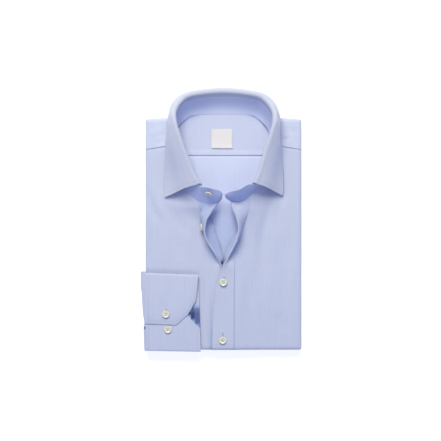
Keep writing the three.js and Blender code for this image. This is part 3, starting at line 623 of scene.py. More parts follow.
def back_shade(grid):
    """Painted shade: the back panel is darkened the further it goes under the two strips."""
    return BACK_SHADE * np.clip((62 - grid[..., 1]) / 45, 0, 1)


def label_grid():
    x = np.linspace(LABEL["left"], LABEL["right"], 25)[None, :]
    y = np.linspace(LABEL["low"], LABEL["high"], 25)[:, None]
    up = (y - YOKE_SEAM) / (180 - YOKE_SEAM)
    loose = 0.7 * np.clip((LABEL["low"] + 12 - y) / 12, 0, 1) ** 2
    z = BACK_LEVEL + CLOTH / 2 + 0.35 + LABEL["wall"] / 2 + YOKE_NECK_RISE * up**3 + loose + 0 * x
    return np.stack([x + 0 * y, y + 0 * x, z], axis=-1)


def cuff_grid(stations=64):
    """Cuff: underlap, lower fold, back layer, upper fold, overlap, from the sleeve to the free edge."""
    c = CUFF
    share = np.linspace(0, 1, stations)
    top, bottom = mix(c["top_left"], c["top_right"], share), mix(c["bottom_left"], c["bottom_right"], share)

    def x_at(y, over):
        if over:
            right = mix(c["right_at_top"], c["right_at_mitre"], np.clip((top - y) / c["mitre_drop"], 0, 1))
        else:
            right = mix(c["right_at_bottom"], c["right_at_top"], (y - bottom) / (top - bottom))
        return mix(c["left"], right, share)

    def place(y, z, over=False):
        return np.stack([x_at(y, over), y + 0 * share, z + 0 * share], axis=-1)

    under_end = np.interp(x_at(-120, False), CUFF_UNDER_END["x"], CUFF_UNDER_END["y"])
    over_end = np.interp(x_at(-120, True), CUFF_OVER_END["x"], CUFF_OVER_END["y"])
    low_radius, high_radius = (c["under"] - c["back"]) / 2, (c["over"] - c["back"]) / 2
    low_centre, high_centre = bottom + CUFF_WALL / 2 + low_radius, top - CUFF_WALL / 2 - high_radius
    swell = np.sin(math.pi * np.linspace(0, 1, 19))
    rows = [place(mix(under_end, low_centre, t), c["under"] + c["under_swell"] * s)
            for t, s in zip(np.linspace(0, 1, 19), swell)]

    def fold(centre, reach, radius, angle):
        """A row on the round of a fold, whose reach is its radius with the sign of the side it is on."""
        return place(centre + reach * math.cos(angle), c["back"] + radius * (1 + math.sin(angle)))

    for degrees in np.linspace(75, -75, 9):
        rows.append(fold(low_centre, -low_radius, low_radius, math.radians(degrees)))
    rows += [place(mix(low_centre, high_centre, t), c["back"]) for t in np.linspace(0, 1, 17)]
    for degrees in np.linspace(-75, 75, 11):
        rows.append(fold(high_centre, high_radius, high_radius, math.radians(degrees)))
    for t, s in zip(np.linspace(0, 1, 19), swell):
        y = mix(high_centre, over_end, t)
        pressed = c["over_press"] * np.exp(-((y - over_end) / 7) ** 2)
        level = c["over"] + c["over_swell"] * s - pressed + crease_height(CUFF_CREASES, x_at(y, True), y)
        rows.append(place(y, level, True))
    return np.stack(rows, axis=0)


def cuff_shade(grid):
    """Depth of the painted shade in the dark notch between the two mitred corners, on the cuff's back layer.
    """
    x, y, z = grid[..., 0], grid[..., 1], grid[..., 2]
    over = np.interp(x, CUFF_OVER_END["x"], CUFF_OVER_END["y"])
    under = np.interp(x, CUFF_UNDER_END["x"], CUFF_UNDER_END["y"])
    inside = np.clip((over - y) / 2, 0, 1) * np.clip((y - under) / 2, 0, 1)
    fade = np.clip((CUFF["right_at_bottom"] - x) / 10, 0.85, 1)
    return inside * fade * np.clip((-107 - y) / 6, 0, 1) * (np.abs(z - CUFF["back"]) < 0.1)


def sleeve_grid():
    rows = resample(SLEEVE_TURN, 30)
    t = np.linspace(0, 1, 80)[None, :]
    y = mix(CUFF["top_left"] + 1.2, CUFF["bottom_left"] + 0.6, t)
    slant = np.interp(t, SLEEVE_REACH["share"], SLEEVE_REACH["reach"])
    x = CUFF["left"] + 0.4 - rows["out"][:, None] * slant
    return np.stack([x, y + 0 * x, rows["level"][:, None] + 0 * x], axis=-1)


def vent_shade(grid):
    """Painted shade at the dark end of the sleeve's vent beside the cuff."""
    return np.exp(-((grid[..., 1] - VENT_END) / 1.8) ** 2)


def layer_rings():
    """Outline of the hidden layers, ring by ring from the floor up."""
    rows = resample(LAYER_RINGS, 45)
    rings = []
    for level, inset in zip(rows["level"], rows["inset"]):
        inset = max(inset, 2.0)
        half, low, high = HALF_WIDTH - inset, BOTTOM_EDGE + inset, TOP_EDGE - inset
        radius = max(LAYER_CORNER - inset, 3)
        ring = []
        for sx, sy, start in ((1, 1, 0), (-1, 1, 90), (-1, -1, 180), (1, -1, 270)):
            centre = np.array([sx * (half - radius), (high if sy > 0 else low) - sy * radius])
            for degrees in np.linspace(0, 90, 13):
                a = math.radians(start + degrees)
                ring.append(centre + radius * np.array([math.cos(a), math.sin(a)]))
        ring = np.array(ring)
        closed = np.vstack([ring, ring[:1]])
        dense = np.concatenate([mix(a, b, np.linspace(0, 1, steps, endpoint=False)[:, None])
                                for a, b in zip(closed[:-1], closed[1:])
                                for steps in [max(1, int(np.linalg.norm(b - a) / 6))]])
        rings.append(np.column_stack([dense, np.full(len(dense), max(level, 0))]))
    return rings


# Meshes

def new_object(name, mesh):
    piece = bpy.data.objects.new(name, mesh)
    bpy.context.scene.collection.objects.link(piece)
    return piece


def lengths_along(grid, axis):
    """Distance along the cloth from the start of each row or column."""
    steps = np.linalg.norm(np.diff(grid, axis=axis), axis=2)
    start = np.zeros_like(np.take(steps, [0], axis=axis))
    return np.concatenate([start, np.cumsum(steps, axis=axis)], axis=axis)


def grid_mesh(name, grids, shade_of=None):
    """One open surface for each grid, in one mesh, with a UV map in metres across and along the cloth,
    the distance to the nearest edge of the cloth as the attribute named edge, and the depth of painted shade
    as the attribute named shade."""
    vertices, faces, uvs, edges, shades = [], [], [], [], []
    for grid in grids:
        offset = sum(len(block) for block in vertices)
        rows, columns = grid.shape[:2]
        index = offset + np.arange(rows * columns).reshape(rows, columns)
        quads = np.stack([index[:-1, :-1], index[1:, :-1], index[1:, 1:], index[:-1, 1:]], axis=-1)
        faces.append(quads.reshape(-1, 4))
        down, over = lengths_along(grid, 0), lengths_along(grid, 1)
        vertices.append(grid.reshape(-1, 3))
        uvs.append(np.stack([over.reshape(-1), down.reshape(-1)], axis=-1))
        shades.append((shade_of(grid) if shade_of else np.zeros(grid.shape[:2])).reshape(-1))
        ends = [down, down[-1:] - down, over, over[:, -1:] - over]
        edges.append(np.minimum.reduce([np.broadcast_to(e, down.shape) for e in ends]).reshape(-1))
    mesh = bpy.data.meshes.new(name)
    mesh.from_pydata((np.vstack(vertices) * MM).tolist(), [], np.vstack(faces).tolist())
    layer = mesh.uv_layers.new(name="cloth")
    loops = np.empty(len(mesh.loops), int)
    mesh.loops.foreach_get("vertex_index", loops)
    layer.data.foreach_set("uv", (np.vstack(uvs)[loops] * MM).ravel())
    mesh.attributes.new("edge", "FLOAT", "POINT").data.foreach_set("value", np.concatenate(edges))
    mesh.attributes.new("shade", "FLOAT", "POINT").data.foreach_set("value", np.concatenate(shades))
    mesh.polygons.foreach_set("use_smooth", np.ones(len(mesh.polygons), bool))
    return mesh


def give_wall(piece, thickness, rim=0.35):
    """Turns an open cloth surface into a closed wall with rounded rims."""
    solid = piece.modifiers.new("Wall", "SOLIDIFY")
    solid.thickness = thickness * MM
    solid.offset = 0
    solid.use_quality_normals = True
    round_rim = piece.modifiers.new("Rim", "BEVEL")
    round_rim.width = rim * thickness * MM
    round_rim.segments = 3
    round_rim.limit_method = "ANGLE"
    round_rim.angle_limit = math.radians(60)
    round_rim.harden_normals = False
    settle(piece)
    face_out(piece.data)


def settle(piece):
    """Applies what is on a piece, so that its mesh is plain."""
    view = bpy.context.evaluated_depsgraph_get()
    made = bpy.data.meshes.new_from_object(piece.evaluated_get(view), depsgraph=view,
                                           preserve_all_data_layers=True)
    piece.modifiers.clear()
    made.name = piece.name
    piece.data = made


def face_out(mesh):
    work = bmesh.new()
    work.from_mesh(mesh)
    bmesh.ops.recalc_face_normals(work, faces=work.faces)
    work.to_mesh(mesh)
    work.free()


def sheet_size(grid):
    """Flat size of a cloth grid in metres: mean length across, mean length along, and its area."""
    across = lengths_along(grid, 1)[:, -1].mean() * MM
    along = lengths_along(grid, 0)[-1].mean() * MM
    a, b = np.diff(grid, axis=0)[:, :-1], np.diff(grid, axis=1)[:-1]
    area = np.linalg.norm(np.cross(a, b), axis=2).sum() * MM * MM
    return float(across), float(along), float(area)


def dress(piece, material, node=None):
    """Gives a finished piece its material and its body, and hides the imported part of the node that it
    stands for.
    """
    piece.data.materials.clear()
    piece.data.materials.append(material)
    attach(piece, BODY)
    if node:
        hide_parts(node)


def cloth_piece(name, grids, thickness, material,
                shade_of=None):
    """A cloth piece as a thin closed wall on the middle surface of its solid."""
    piece = new_object(f"cloth_{name}", grid_mesh(name, grids, shade_of))
    give_wall(piece, thickness)
    dress(piece, material, name)
    sizes = [sheet_size(grid) for grid in grids]
    width, length = max(s[0] for s in sizes), sum(s[1] for s in sizes)
    area = min(sum(s[2] for s in sizes), width * length)
    return piece


# Shader maths

class Value:
    """A number on its way through a shader. Sums and products of it add Math nodes."""

    def __init__(self, maker, socket):
        self.maker, self.socket = maker, socket

    def _with(self, operation, *others):
        return self.maker.node("ShaderNodeMath", {"operation": operation}, [self, *others])

    def __add__(self, other):
        return self._with("ADD", other)

    def __sub__(self, other):
        return self._with("SUBTRACT", other)

    def __mul__(self, other):
        return self._with("MULTIPLY", other)

    def __truediv__(self, other):
        return self._with("DIVIDE", other)

    def __pow__(self, other):
        return self._with("POWER", other)

    def __rsub__(self, other):
        return self.maker.node("ShaderNodeMath", {"operation": "SUBTRACT"}, [other, self])

    def __rtruediv__(self, other):
        return self.maker.node("ShaderNodeMath", {"operation": "DIVIDE"}, [other, self])

    def __rpow__(self, other):
        return self.maker.node("ShaderNodeMath", {"operation": "POWER"}, [other, self])

    __radd__ = __add__
    __rmul__ = __mul__

    def sine(self):
        return self._with("SINE")

    def clamped(self, low=0.0, high=1.0):
        return self._with("MINIMUM", high)._with("MAXIMUM", low)

    def bell(self, centre, width):
        """One at the centre, falling to nothing a few widths away."""
        off = (self - centre) / width
        return math.e ** (off * off * -1.0)


class Shader:
    """A material and its nodes, each made by one call."""

    def __init__(self, name):
        self.material = bpy.data.materials.new(name)
        self.material.use_nodes = True
        self.tree = self.material.node_tree
        self.tree.nodes.clear()

    def node(self, kind, settings=None, inputs=(), output=0):
        made = self.tree.nodes.new(kind)
        for key, value in (settings or {}).items():
            setattr(made, key, value)
        pairs = inputs.items() if isinstance(inputs, dict) else enumerate(inputs)
        for key, value in pairs:
            if isinstance(value, Value):
                self.tree.links.new(value.socket, made.inputs[key])
            else:
                made.inputs[key].default_value = value
        return Value(self, made.outputs[output])

    def blend(self, share, first, second):
        """A colour between two, each given or from a node."""
        return self.node("ShaderNodeMix", {"data_type": "RGBA"}, {0: share, 6: first, 7: second}, 2)

    def tint(self, colour, amount):
        """A colour made lighter or darker by a number."""
        given = colour if isinstance(colour, Value) else colour[:3]
        return self.node("ShaderNodeVectorMath", {"operation": "SCALE"}, {0: given, 3: amount})

    def noise(self, vector, scale, detail, settings=None, **others):
        inputs = {"Vector": vector, "Scale": scale, "Detail": detail, **others}
        return self.node("ShaderNodeTexNoise", settings, inputs)

    def place(self):
        """Object coordinates, which every finished piece has from its mesh."""
        return self.node("ShaderNodeTexCoord", output=3)

    def cloth_axes(self):
        """The cloth's UV map, and its metres across and along as two numbers."""
        uv = self.node("ShaderNodeUVMap", {"uv_map": "cloth"})
        split = self.tree.nodes.new("ShaderNodeSeparateXYZ")
        self.tree.links.new(uv.socket, split.inputs[0])
        return uv, Value(self, split.outputs[0]), Value(self, split.outputs[1])

    def stretched(self, uv, scales):
        return self.node("ShaderNodeVectorMath", {"operation": "MULTIPLY"}, {0: uv, 1: scales})

    def attribute(self, name):
        return self.node("ShaderNodeAttribute", {"attribute_name": name}, output=2)

    def finish(self, **sockets):
        named = {key.replace("_", " "): value for key, value in sockets.items()}
        surface = self.node("ShaderNodeBsdfPrincipled", {}, named)
        output = self.tree.nodes.new("ShaderNodeOutputMaterial")
        self.tree.links.new(surface.socket, output.inputs["Surface"])
        return self.material


def rgba(colour):
    return (*colour[:3], 1.0)


def shirting(name, colour, settings, stitched=True, streaks=1.0):
    """Fine cotton twill: slanting weave, faint lengthwise threads and a pressed line beside each edge."""
    s = Shader(name)
    uv, across, along = s.cloth_axes()
    pitch = settings.thread_pitch
    warp = (across * (math.tau / pitch)).sine() * 0.5 + 0.5
    twill = ((across + along * 0.62) * (math.tau / (pitch * 1.6))).sine() * 0.5 + 0.5
    flat = {"noise_dimensions": "2D"}
    streak = s.noise(s.stretched(uv, (900.0, 14.0, 1.0)), 1.0, 2.0, flat)
    slub = s.noise(s.stretched(uv, (10.0, 700.0, 1.0)), 1.0, 2.0, flat)
    cloud = s.noise(s.place(), 14.0, 3.0)
    light = 1.0 + (streak - 0.5) * (0.10 * streaks) + (slub - 0.5) * (0.05 * streaks) + (cloud - 0.5) * 0.05
    light = light + (twill - 0.5) * 0.05 + (warp - 0.5) * 0.03
    height = twill * 0.5 + warp * 0.3 + streak * 0.4
    if stitched:
        # Painted shade: the pressed line is darkened in colour as well as sunk in the bump
        pressed = s.attribute("edge").bell(settings.stitch_inset / MM, 0.55)
        light = light - pressed * 0.10
        height = height - pressed * 1.6
    # Painted shade: the attribute named shade turns the colour bluer and darker, towards the cool and then
    # the deep colour of the shade
    shade = s.attribute("shade")
    cool, deep = (rgba([c * f for c, f in zip(colour, factors)]) for factors in (COOL_SHADE, DEEP_SHADE))
    cooled = s.blend((shade * 2.0).clamped(), s.tint(rgba(colour), light), cool)
    colour_out = s.blend((shade * 2.0 - 1.0).clamped(), cooled, deep)
    bump = s.node("ShaderNodeBump", {}, {"Strength": 0.35, "Distance": 0.0002, "Height": height})
    rough = 0.72 + (streak - 0.5) * 0.12
    return s.finish(Base_Color=colour_out, Roughness=rough, Normal=bump, Sheen_Weight=0.18,
                    Sheen_Roughness=0.45, Specular_IOR_Level=0.35)


def woven_patch(name, colour, pitch):
    """Blank satin label: close crosswise ribs and a folded hem along its edge."""
    s = Shader(name)
    _, across, along = s.cloth_axes()
    ribs = (along * (math.tau / pitch)).sine() * 0.5 + 0.5
    floats = (across * (math.tau / (pitch * 2.3))).sine() * 0.5 + 0.5
    # Painted shade: the hem's line is darkened in colour as well as sunk in the bump
    hem = s.attribute("edge").bell(1.1, 0.35)
    light = 1.0 + (ribs - 0.5) * 0.06 + (floats - 0.5) * 0.04 - hem * 0.08
    height = ribs + floats * 0.6 - hem
    bump = s.node("ShaderNodeBump", {}, {"Strength": 0.5, "Distance": 0.0002, "Height": height})
    return s.finish(Base_Color=s.tint(rgba(colour), light), Roughness=0.6 + ribs * 0.1, Normal=bump,
                    Sheen_Weight=0.3, Sheen_Roughness=0.4)


def pearl(name, colour):
    """Cream button with the faint cloudy bands of polished shell."""
    s = Shader(name)
    cloud = s.noise(s.place(), 260.0, 3.0, Distortion=1.2)
    shade = s.blend(cloud, rgba(colour), rgba([c * f for c, f in zip(colour, (0.86, 0.84, 0.78))]))
    bump = s.node("ShaderNodeBump", {}, {"Strength": 0.08, "Distance": 0.0001, "Height": cloud})
    return s.finish(Base_Color=shade, Roughness=0.2 + cloud * 0.16, Normal=bump, Coat_Weight=0.35,
                    Coat_Roughness=0.12, Subsurface_Weight=0.08)


def sewing_thread(name, colour):
    s = Shader(name)
    twist = s.noise(s.place(), 4200.0, 1.0)
    light = 0.94 + twist * 0.14
    return s.finish(Base_Color=s.tint(rgba(colour), light), Roughness=0.55 + twist * 0.1, Sheen_Weight=0.2)


def pale_floor(name, colour):
    s = Shader(name)
    grain = s.noise(s.place(), 30.0, 4.0)
    return s.finish(Base_Color=s.tint(rgba(colour), 0.99 + grain * 0.02), Roughness=0.85 + grain * 0.1,
                    Emission_Color=(1.0, 1.0, 1.0, 1.0), Emission_Strength=0.7)


# Settings that a user would change

def size_property(name, description, millimetres):
    return bpy.props.FloatProperty(name=name, description=description, default=millimetres * MM,
                                   unit="LENGTH")


def colour_property(name, description, colour):
    return bpy.props.FloatVectorProperty(name=name, description=description, default=colour, size=3,
                                         subtype="COLOR")


class ShirtSettings(bpy.types.PropertyGroup):
    """Sizes and colours of the sewing and the cloth."""
    wall: size_property("Cloth", "Thickness of one layer as built", 1.3)
    interlined_wall: size_property("Interlined cloth", "Thickness of collar, strips and cuff", 1.8)
    thread_pitch: size_property("Thread pitch", "Distance between warp threads", 0.42)
    stitch_inset: size_property("Stitch inset", "Top stitching from the edge", 5.0)
    seam_inset: size_property("Seam stitch inset", "Edge stitching from a seam", 1.2)
    stitch_pitch: size_property("Stitch pitch", "Distance between stitches", 2.3)
    stitch_thickness: size_property("Stitch thickness", "Thickness of the sewing thread", 0.34)
    button_diameter: size_property("Button", "Diameter of a button", 11.0)
    cloth_colour: colour_property("Shirting", "Colour of the shirting", (0.458, 0.501, 0.732))
    thread_colour: colour_property("Thread", "Colour of the sewing", (0.47, 0.51, 0.73))
    label_colour: colour_property("Label", "Colour of the blank label", (0.72, 0.70, 0.79))
    button_colour: colour_property("Buttons", "Colour of the buttons", (0.80, 0.77, 0.66))
    floor_colour: colour_property("Floor", "Colour of the floor", (0.55, 0.55, 0.55))


def settings_of(context):
    return context.scene.shirt_settings


MATERIALS = {}


def material(key, maker, *arguments, **options):
    """A material made once and shared by its pieces."""
    if key not in MATERIALS:
        MATERIALS[key] = maker(key, *arguments, **options)
    return MATERIALS[key]


def shirting_for(context, key="shirting", factor=(1, 1, 1), **options):
    settings = settings_of(context)
    colour = [c * f for c, f in zip(settings.cloth_colour, factor)]
    return material(key, shirting, colour, settings, **options)


class ShirtOperator(bpy.types.Operator):
    """Shared settings of the shirt's operators."""
    bl_options = {"REGISTER", "UNDO"}


class SHIRT_OT_hidden_layers(ShirtOperator):
    """Build the hidden folded layers as one rounded solid"""
    bl_idname = "shirt.hidden_layers"
    bl_label = "Hidden Layers"

    def execute(self, context):
        rings = layer_rings()
        count = len(rings[0])
        vertices = np.vstack(rings) * MM
        faces = [[a + j, a + (j + 1) % count, a + count + (j + 1) % count, a + count + j]
                 for a in range(0, (len(rings) - 1) * count, count) for j in range(count)]
        faces += [list(range(count))[::-1], [len(vertices) - count + j for j in range(count)]]
        mesh = bpy.data.meshes.new("folded_layers")
        mesh.from_pydata(vertices.tolist(), [], faces)
        layer = mesh.uv_layers.new(name="cloth")
        for loop, uv in zip(mesh.loops, layer.data):
            uv.uv = mesh.vertices[loop.vertex_index].co.xy
        values = np.full(len(mesh.vertices), 30.0)
        mesh.attributes.new("edge", "FLOAT", "POINT").data.foreach_set("value", values)
        for polygon in mesh.polygons:
            polygon.use_smooth = len(polygon.vertices) == 4
        piece = new_object("cloth_folded_layers", mesh)
        face_out(mesh)
        dress(piece, shirting_for(context, "shirting_plain", stitched=False), "folded_layers")
        return {"FINISHED"}


class SHIRT_OT_body(ShirtOperator):
    """Build the back, the yoke, the two fronts and the blank label"""
    bl_idname = "shirt.body"
    bl_label = "Body"

    def execute(self, context):
        settings = settings_of(context)
        wall = settings.wall / MM
        plain = shirting_for(context, "shirting_plain", stitched=False)
        # Painted light: the inside and the yoke get lighter copies of the shirting
        inside = shirting_for(context, "shirting_inside", INSIDE_PAINTED_LIGHT, stitched=False)
        yoke = shirting_for(context, "shirting_yoke", YOKE_PAINTED_LIGHT, stitched=False)
        cloth_piece("back", [back_grid()], wall, inside, shade_of=back_shade)
        cloth_piece("yoke", [inside_yoke_grid(), shoulder_grid(-1), shoulder_grid(1)], wall, yoke,
                    shade_of=yoke_shade)
        cloth_piece("front_button_side", [front_grid(-1)], wall, plain, shade_of=front_shade)
        cloth_piece("front_buttonhole_side", [front_grid(1)], wall, plain)
        patch = material("woven_patch", woven_patch, settings.label_colour, settings.thread_pitch)
        cloth_piece("neck_label", [label_grid()], 0.45, patch)
        return {"FINISHED"}


class SHIRT_OT_strips(ShirtOperator):
    """Build the two front strips"""
    bl_idname = "shirt.strips"
    bl_label = "Front Strips"

    def execute(self, context):
        wall = settings_of(context).interlined_wall / MM
        cloth = shirting_for(context, "shirting_strip", stitched=False)
        for side, name in ((-1, "placket_button_side"), (1, "placket_buttonhole_side")):
            cloth_piece(name, [strip_grid(side)], wall, cloth,
                        shade_of=lambda grid, which=side: strip_shade(grid, which))
        return {"FINISHED"}


class SHIRT_OT_collar(ShirtOperator):
    """Build the collar's band and leaf"""
    bl_idname = "shirt.collar"
    bl_label = "Collar"

    def execute(self, context):
        wall = settings_of(context).interlined_wall / MM
        # Painted light: the band and the leaf get lighter, tinted copies of the shirting
        band = shirting_for(context, "shirting_band", BAND_PAINTED_LIGHT, stitched=False)
        leaf = shirting_for(context, "shirting_leaf", LEAF_PAINTED_LIGHT)
        cloth_piece("collar_band", [band_grid()], wall, band, shade_of=band_shade)
        cloth_piece("collar_leaf", [leaf_grid()], wall, leaf, shade_of=leaf_shade)
        return {"FINISHED"}


class SHIRT_OT_sleeve(ShirtOperator):
    """Build the end of the sleeve and its cuff"""
    bl_idname = "shirt.sleeve"
    bl_label = "Sleeve and Cuff"

    def execute(self, context):
        wall = settings_of(context).interlined_wall / MM
        plain = shirting_for(context, "shirting_plain", stitched=False)
        cloth_piece("sleeve", [sleeve_grid()], SLEEVE_WALL, plain,
                    shade_of=vent_shade)
        cloth_piece("cuff", [cuff_grid()], wall - CUFF_THINNER, shirting_for(context),
                    shade_of=cuff_shade)
        return {"FINISHED"}


def mesh_of(work, name, rounded=True):
    """Ends the work on a bmesh and gives its mesh."""
    mesh = bpy.data.meshes.new(name)
    work.to_mesh(mesh)
    work.free()
    mesh.polygons.foreach_set("use_smooth", np.full(len(mesh.polygons), rounded))
    return mesh


def turned_disc(diameter):
    """The turned body of a four-hole button, with a raised rim and a sunk middle; the holes are not cut here.
    """
    scale = diameter / 2 / BUTTON_PROFILE_RADIUS
    work = bmesh.new()
    ring = [work.verts.new((x * scale, 0, z * scale)) for x, z in BUTTON_PROFILE]
    edges = [work.edges.new(pair) for pair in zip(ring[:-1], ring[1:])]
    bmesh.ops.spin(work, geom=ring + edges, cent=(0, 0, 0), axis=(0, 0, 1), angle=math.tau, steps=40)
    bmesh.ops.remove_doubles(work, verts=work.verts, dist=1e-6)
    bmesh.ops.recalc_face_normals(work, faces=work.faces)
    return mesh_of(work, "button")


def hole_cutter(pitch, radius):
    work = bmesh.new()
    for x in (-1, 1):
        for y in (-1, 1):
            made = bmesh.ops.create_cone(work, cap_ends=True, segments=16, radius1=radius, radius2=radius,
                                         depth=8 * MM)
            bmesh.ops.translate(work, verts=made["verts"], vec=(x * pitch / 2, y * pitch / 2, 0))
    return mesh_of(work, "holes", False)


class SHIRT_OT_buttons(ShirtOperator):
    """Build the six buttons with their threads"""
    bl_idname = "shirt.buttons"
    bl_label = "Buttons"

    def execute(self, context):
        settings = settings_of(context)
        shell = material("pearl", pearl, settings.button_colour)
        thread = material("thread", sewing_thread, settings.thread_colour)
        cutter = new_object("cutter", hole_cutter(HOLE_PITCH * MM, HOLE_RADIUS * MM))
        for i, name in enumerate(BUTTON_NAMES):
            row = {key: column[i] for key, column in BUTTONS.items()}
            piece = new_object(f"shell_{name}", turned_disc(settings.button_diameter))
            cut = piece.modifiers.new("Holes", "BOOLEAN")
            cut.object = cutter
            cut.solver = "EXACT"
            settle(piece)
            normal = Vector((row["nx"], row["ny"], row["nz"])).normalized()
            turn = normal.to_track_quat("Z", "Y").to_matrix().to_4x4()
            spin = turn @ Matrix.Rotation(math.radians(row["turn"]), 4, "Z")
            place = Matrix.Translation(Vector((row["x"], row["y"], row["z"])) * MM) @ spin
            piece.data.transform(place)
            dress(piece, shell, name)
            bars = new_object(f"thread_{name}", self.thread_bars())
            bars.data.transform(place)
            dress(bars, thread)
        bpy.data.objects.remove(cutter)
        return {"FINISHED"}

    @staticmethod
    def thread_bars():
        """Two pairs of thread turns between the holes."""
        work = bmesh.new()
        for y in (-HOLE_PITCH / 2, HOLE_PITCH / 2):
            for shift in THREAD_BAR_SHIFTS:
                made = bmesh.ops.create_uvsphere(work, u_segments=8, v_segments=6, radius=0.5)
                bmesh.ops.scale(work, verts=made["verts"], vec=[size * MM for size in THREAD_BAR])
                bmesh.ops.translate(work, verts=made["verts"], vec=(0, (y + shift) * MM, 0.5 * MM))
        return mesh_of(work, "threads")


# Sewing

def stitch_tree():
    """Geometry Nodes: stitches of one size set at a pitch along every line of the mesh."""
    tree = bpy.data.node_groups.new("stitches", "GeometryNodeTree")
    face = tree.interface
    face.new_socket("Geometry", in_out="INPUT", socket_type="NodeSocketGeometry")
    face.new_socket("Pitch", in_out="INPUT", socket_type="NodeSocketFloat")
    face.new_socket("Size", in_out="INPUT", socket_type="NodeSocketVector")
    face.new_socket("Material", in_out="INPUT", socket_type="NodeSocketMaterial")
    face.new_socket("Geometry", in_out="OUTPUT", socket_type="NodeSocketGeometry")
    new, link = tree.nodes.new, tree.links.new
    inputs, output = new("NodeGroupInput"), new("NodeGroupOutput")
    lines, even = new("GeometryNodeMeshToCurve"), new("GeometryNodeResampleCurve")
    even.mode = "LENGTH"
    tangent, turn = new("GeometryNodeInputTangent"), new("FunctionNodeAlignRotationToVector")
    turn.axis = "X"
    bead = new("GeometryNodeMeshUVSphere")
    bead.inputs["Segments"].default_value = 6
    bead.inputs["Rings"].default_value = 4
    bead.inputs["Radius"].default_value = 0.5
    spread, real = new("GeometryNodeInstanceOnPoints"), new("GeometryNodeRealizeInstances")
    smooth_shade, coat = new("GeometryNodeSetShadeSmooth"), new("GeometryNodeSetMaterial")
    link(inputs.outputs["Geometry"], lines.inputs["Mesh"])
    link(lines.outputs["Curve"], even.inputs["Curve"])
    link(inputs.outputs["Pitch"], even.inputs["Length"])
    link(even.outputs["Curve"], spread.inputs["Points"])
    link(bead.outputs["Mesh"], spread.inputs["Instance"])
    link(tangent.outputs["Tangent"], turn.inputs["Vector"])
    link(turn.outputs["Rotation"], spread.inputs["Rotation"])
    link(inputs.outputs["Size"], spread.inputs["Scale"])
    link(spread.outputs["Instances"], real.inputs["Geometry"])
    link(real.outputs["Geometry"], smooth_shade.inputs["Geometry"])
    link(smooth_shade.outputs["Geometry"], coat.inputs["Geometry"])
    link(inputs.outputs["Material"], coat.inputs["Material"])
    link(coat.outputs["Geometry"], output.inputs["Geometry"])
    return tree


def grid_normals(grid):
    down, over = np.gradient(grid, axis=0), np.gradient(grid, axis=1)
    return unit(np.cross(down, over))


def lifted_line(grid, places, lift, towards):
    """Points on a grid at places counted in rows and columns, lifted off it on the side named."""
    normals = grid_normals(grid)
    i = np.clip(places[:, 0], 0, grid.shape[0] - 1.001)
    j = np.clip(places[:, 1], 0, grid.shape[1] - 1.001)
    i0, j0 = i.astype(int), j.astype(int)
    u, v = (i - i0)[:, None], (j - j0)[:, None]

    def read(field):
        near, far = (mix(field[i0, j], field[i0 + 1, j], u) for j in (j0, j0 + 1))
        return mix(near, far, v)

    normal = unit(read(normals))
    normal = normal * np.sign(dot(normal, np.asarray(towards, float)) + 1e-9)
    return read(grid) + normal * lift


def column_at(grid, distance, from_end):
    """For every row, the place among the columns that lies a distance in from one end."""
    over = lengths_along(grid, 1)
    wanted = over[:, -1] - distance if from_end else np.full(len(over), distance)
    return np.array([np.interp(value, row, np.arange(len(row))) for value, row in zip(wanted, over)])


def row_at(grid, distance, from_end):
    return column_at(grid.transpose(1, 0, 2), distance, from_end)


def run_down(grid, distance, from_end, lift, towards, first=0, last=None):
    """A stitch line along the columns, parallel to a side edge."""
    places = np.column_stack([np.arange(len(grid)), column_at(grid, distance, from_end)])[first:last]
    return lifted_line(grid, places, lift, towards)


def run_across(grid, distance, from_end, lift, towards, first=0, last=None):
    """A stitch line along the rows, parallel to an end."""
    places = np.column_stack([row_at(grid, distance, from_end), np.arange(grid.shape[1])])[first:last]
    return lifted_line(grid, places, lift, towards)


def sewn(name, runs, pitch, size, thread):
    """Makes runs of points into stitches in one plain mesh."""
    vertices, edges, start = [], [], 0
    for run in runs:
        vertices += (run * MM).tolist()
        edges += [(start + k, start + k + 1) for k in range(len(run) - 1)]
        start += len(run)
    mesh = bpy.data.meshes.new(name)
    mesh.from_pydata(vertices, edges, [])
    piece = new_object(name, mesh)
    tree = bpy.data.node_groups.get("stitches") or stitch_tree()
    sockets = {item.name: item.identifier for item in tree.interface.items_tree if item.in_out == "INPUT"}
    modifier = piece.modifiers.new("Stitches", "NODES")
    modifier.node_group = tree
    modifier[sockets["Pitch"]] = pitch
    modifier[sockets["Size"]] = size
    modifier[sockets["Material"]] = thread
    settle(piece)
    dress(piece, thread)
    return piece


def buttonhole(grid, x, y, width):
    """Rounded outline of a lengthwise buttonhole on the topmost layer of a grid at a place."""
    off = (grid[..., 0] - x) ** 2 + (grid[..., 1] - y) ** 2 - grid[..., 2]
    i, j = np.unravel_index(off.argmin(), off.shape)
    step_i = np.linalg.norm(grid[i, j] - grid[i - 1, j])
    step_j = np.linalg.norm(grid[i, j] - grid[i, j - 1])
    angle = np.linspace(0, math.tau, 61)
    along = (BUTTONHOLE_LENGTH - width) / 2 * np.sign(np.sin(angle)) + width / 2 * np.sin(angle)
    places = np.column_stack([i + along / step_i, j + width / 2 * np.cos(angle) / step_j])
    return lifted_line(grid, places, BUTTONHOLE_LIFT, UP)


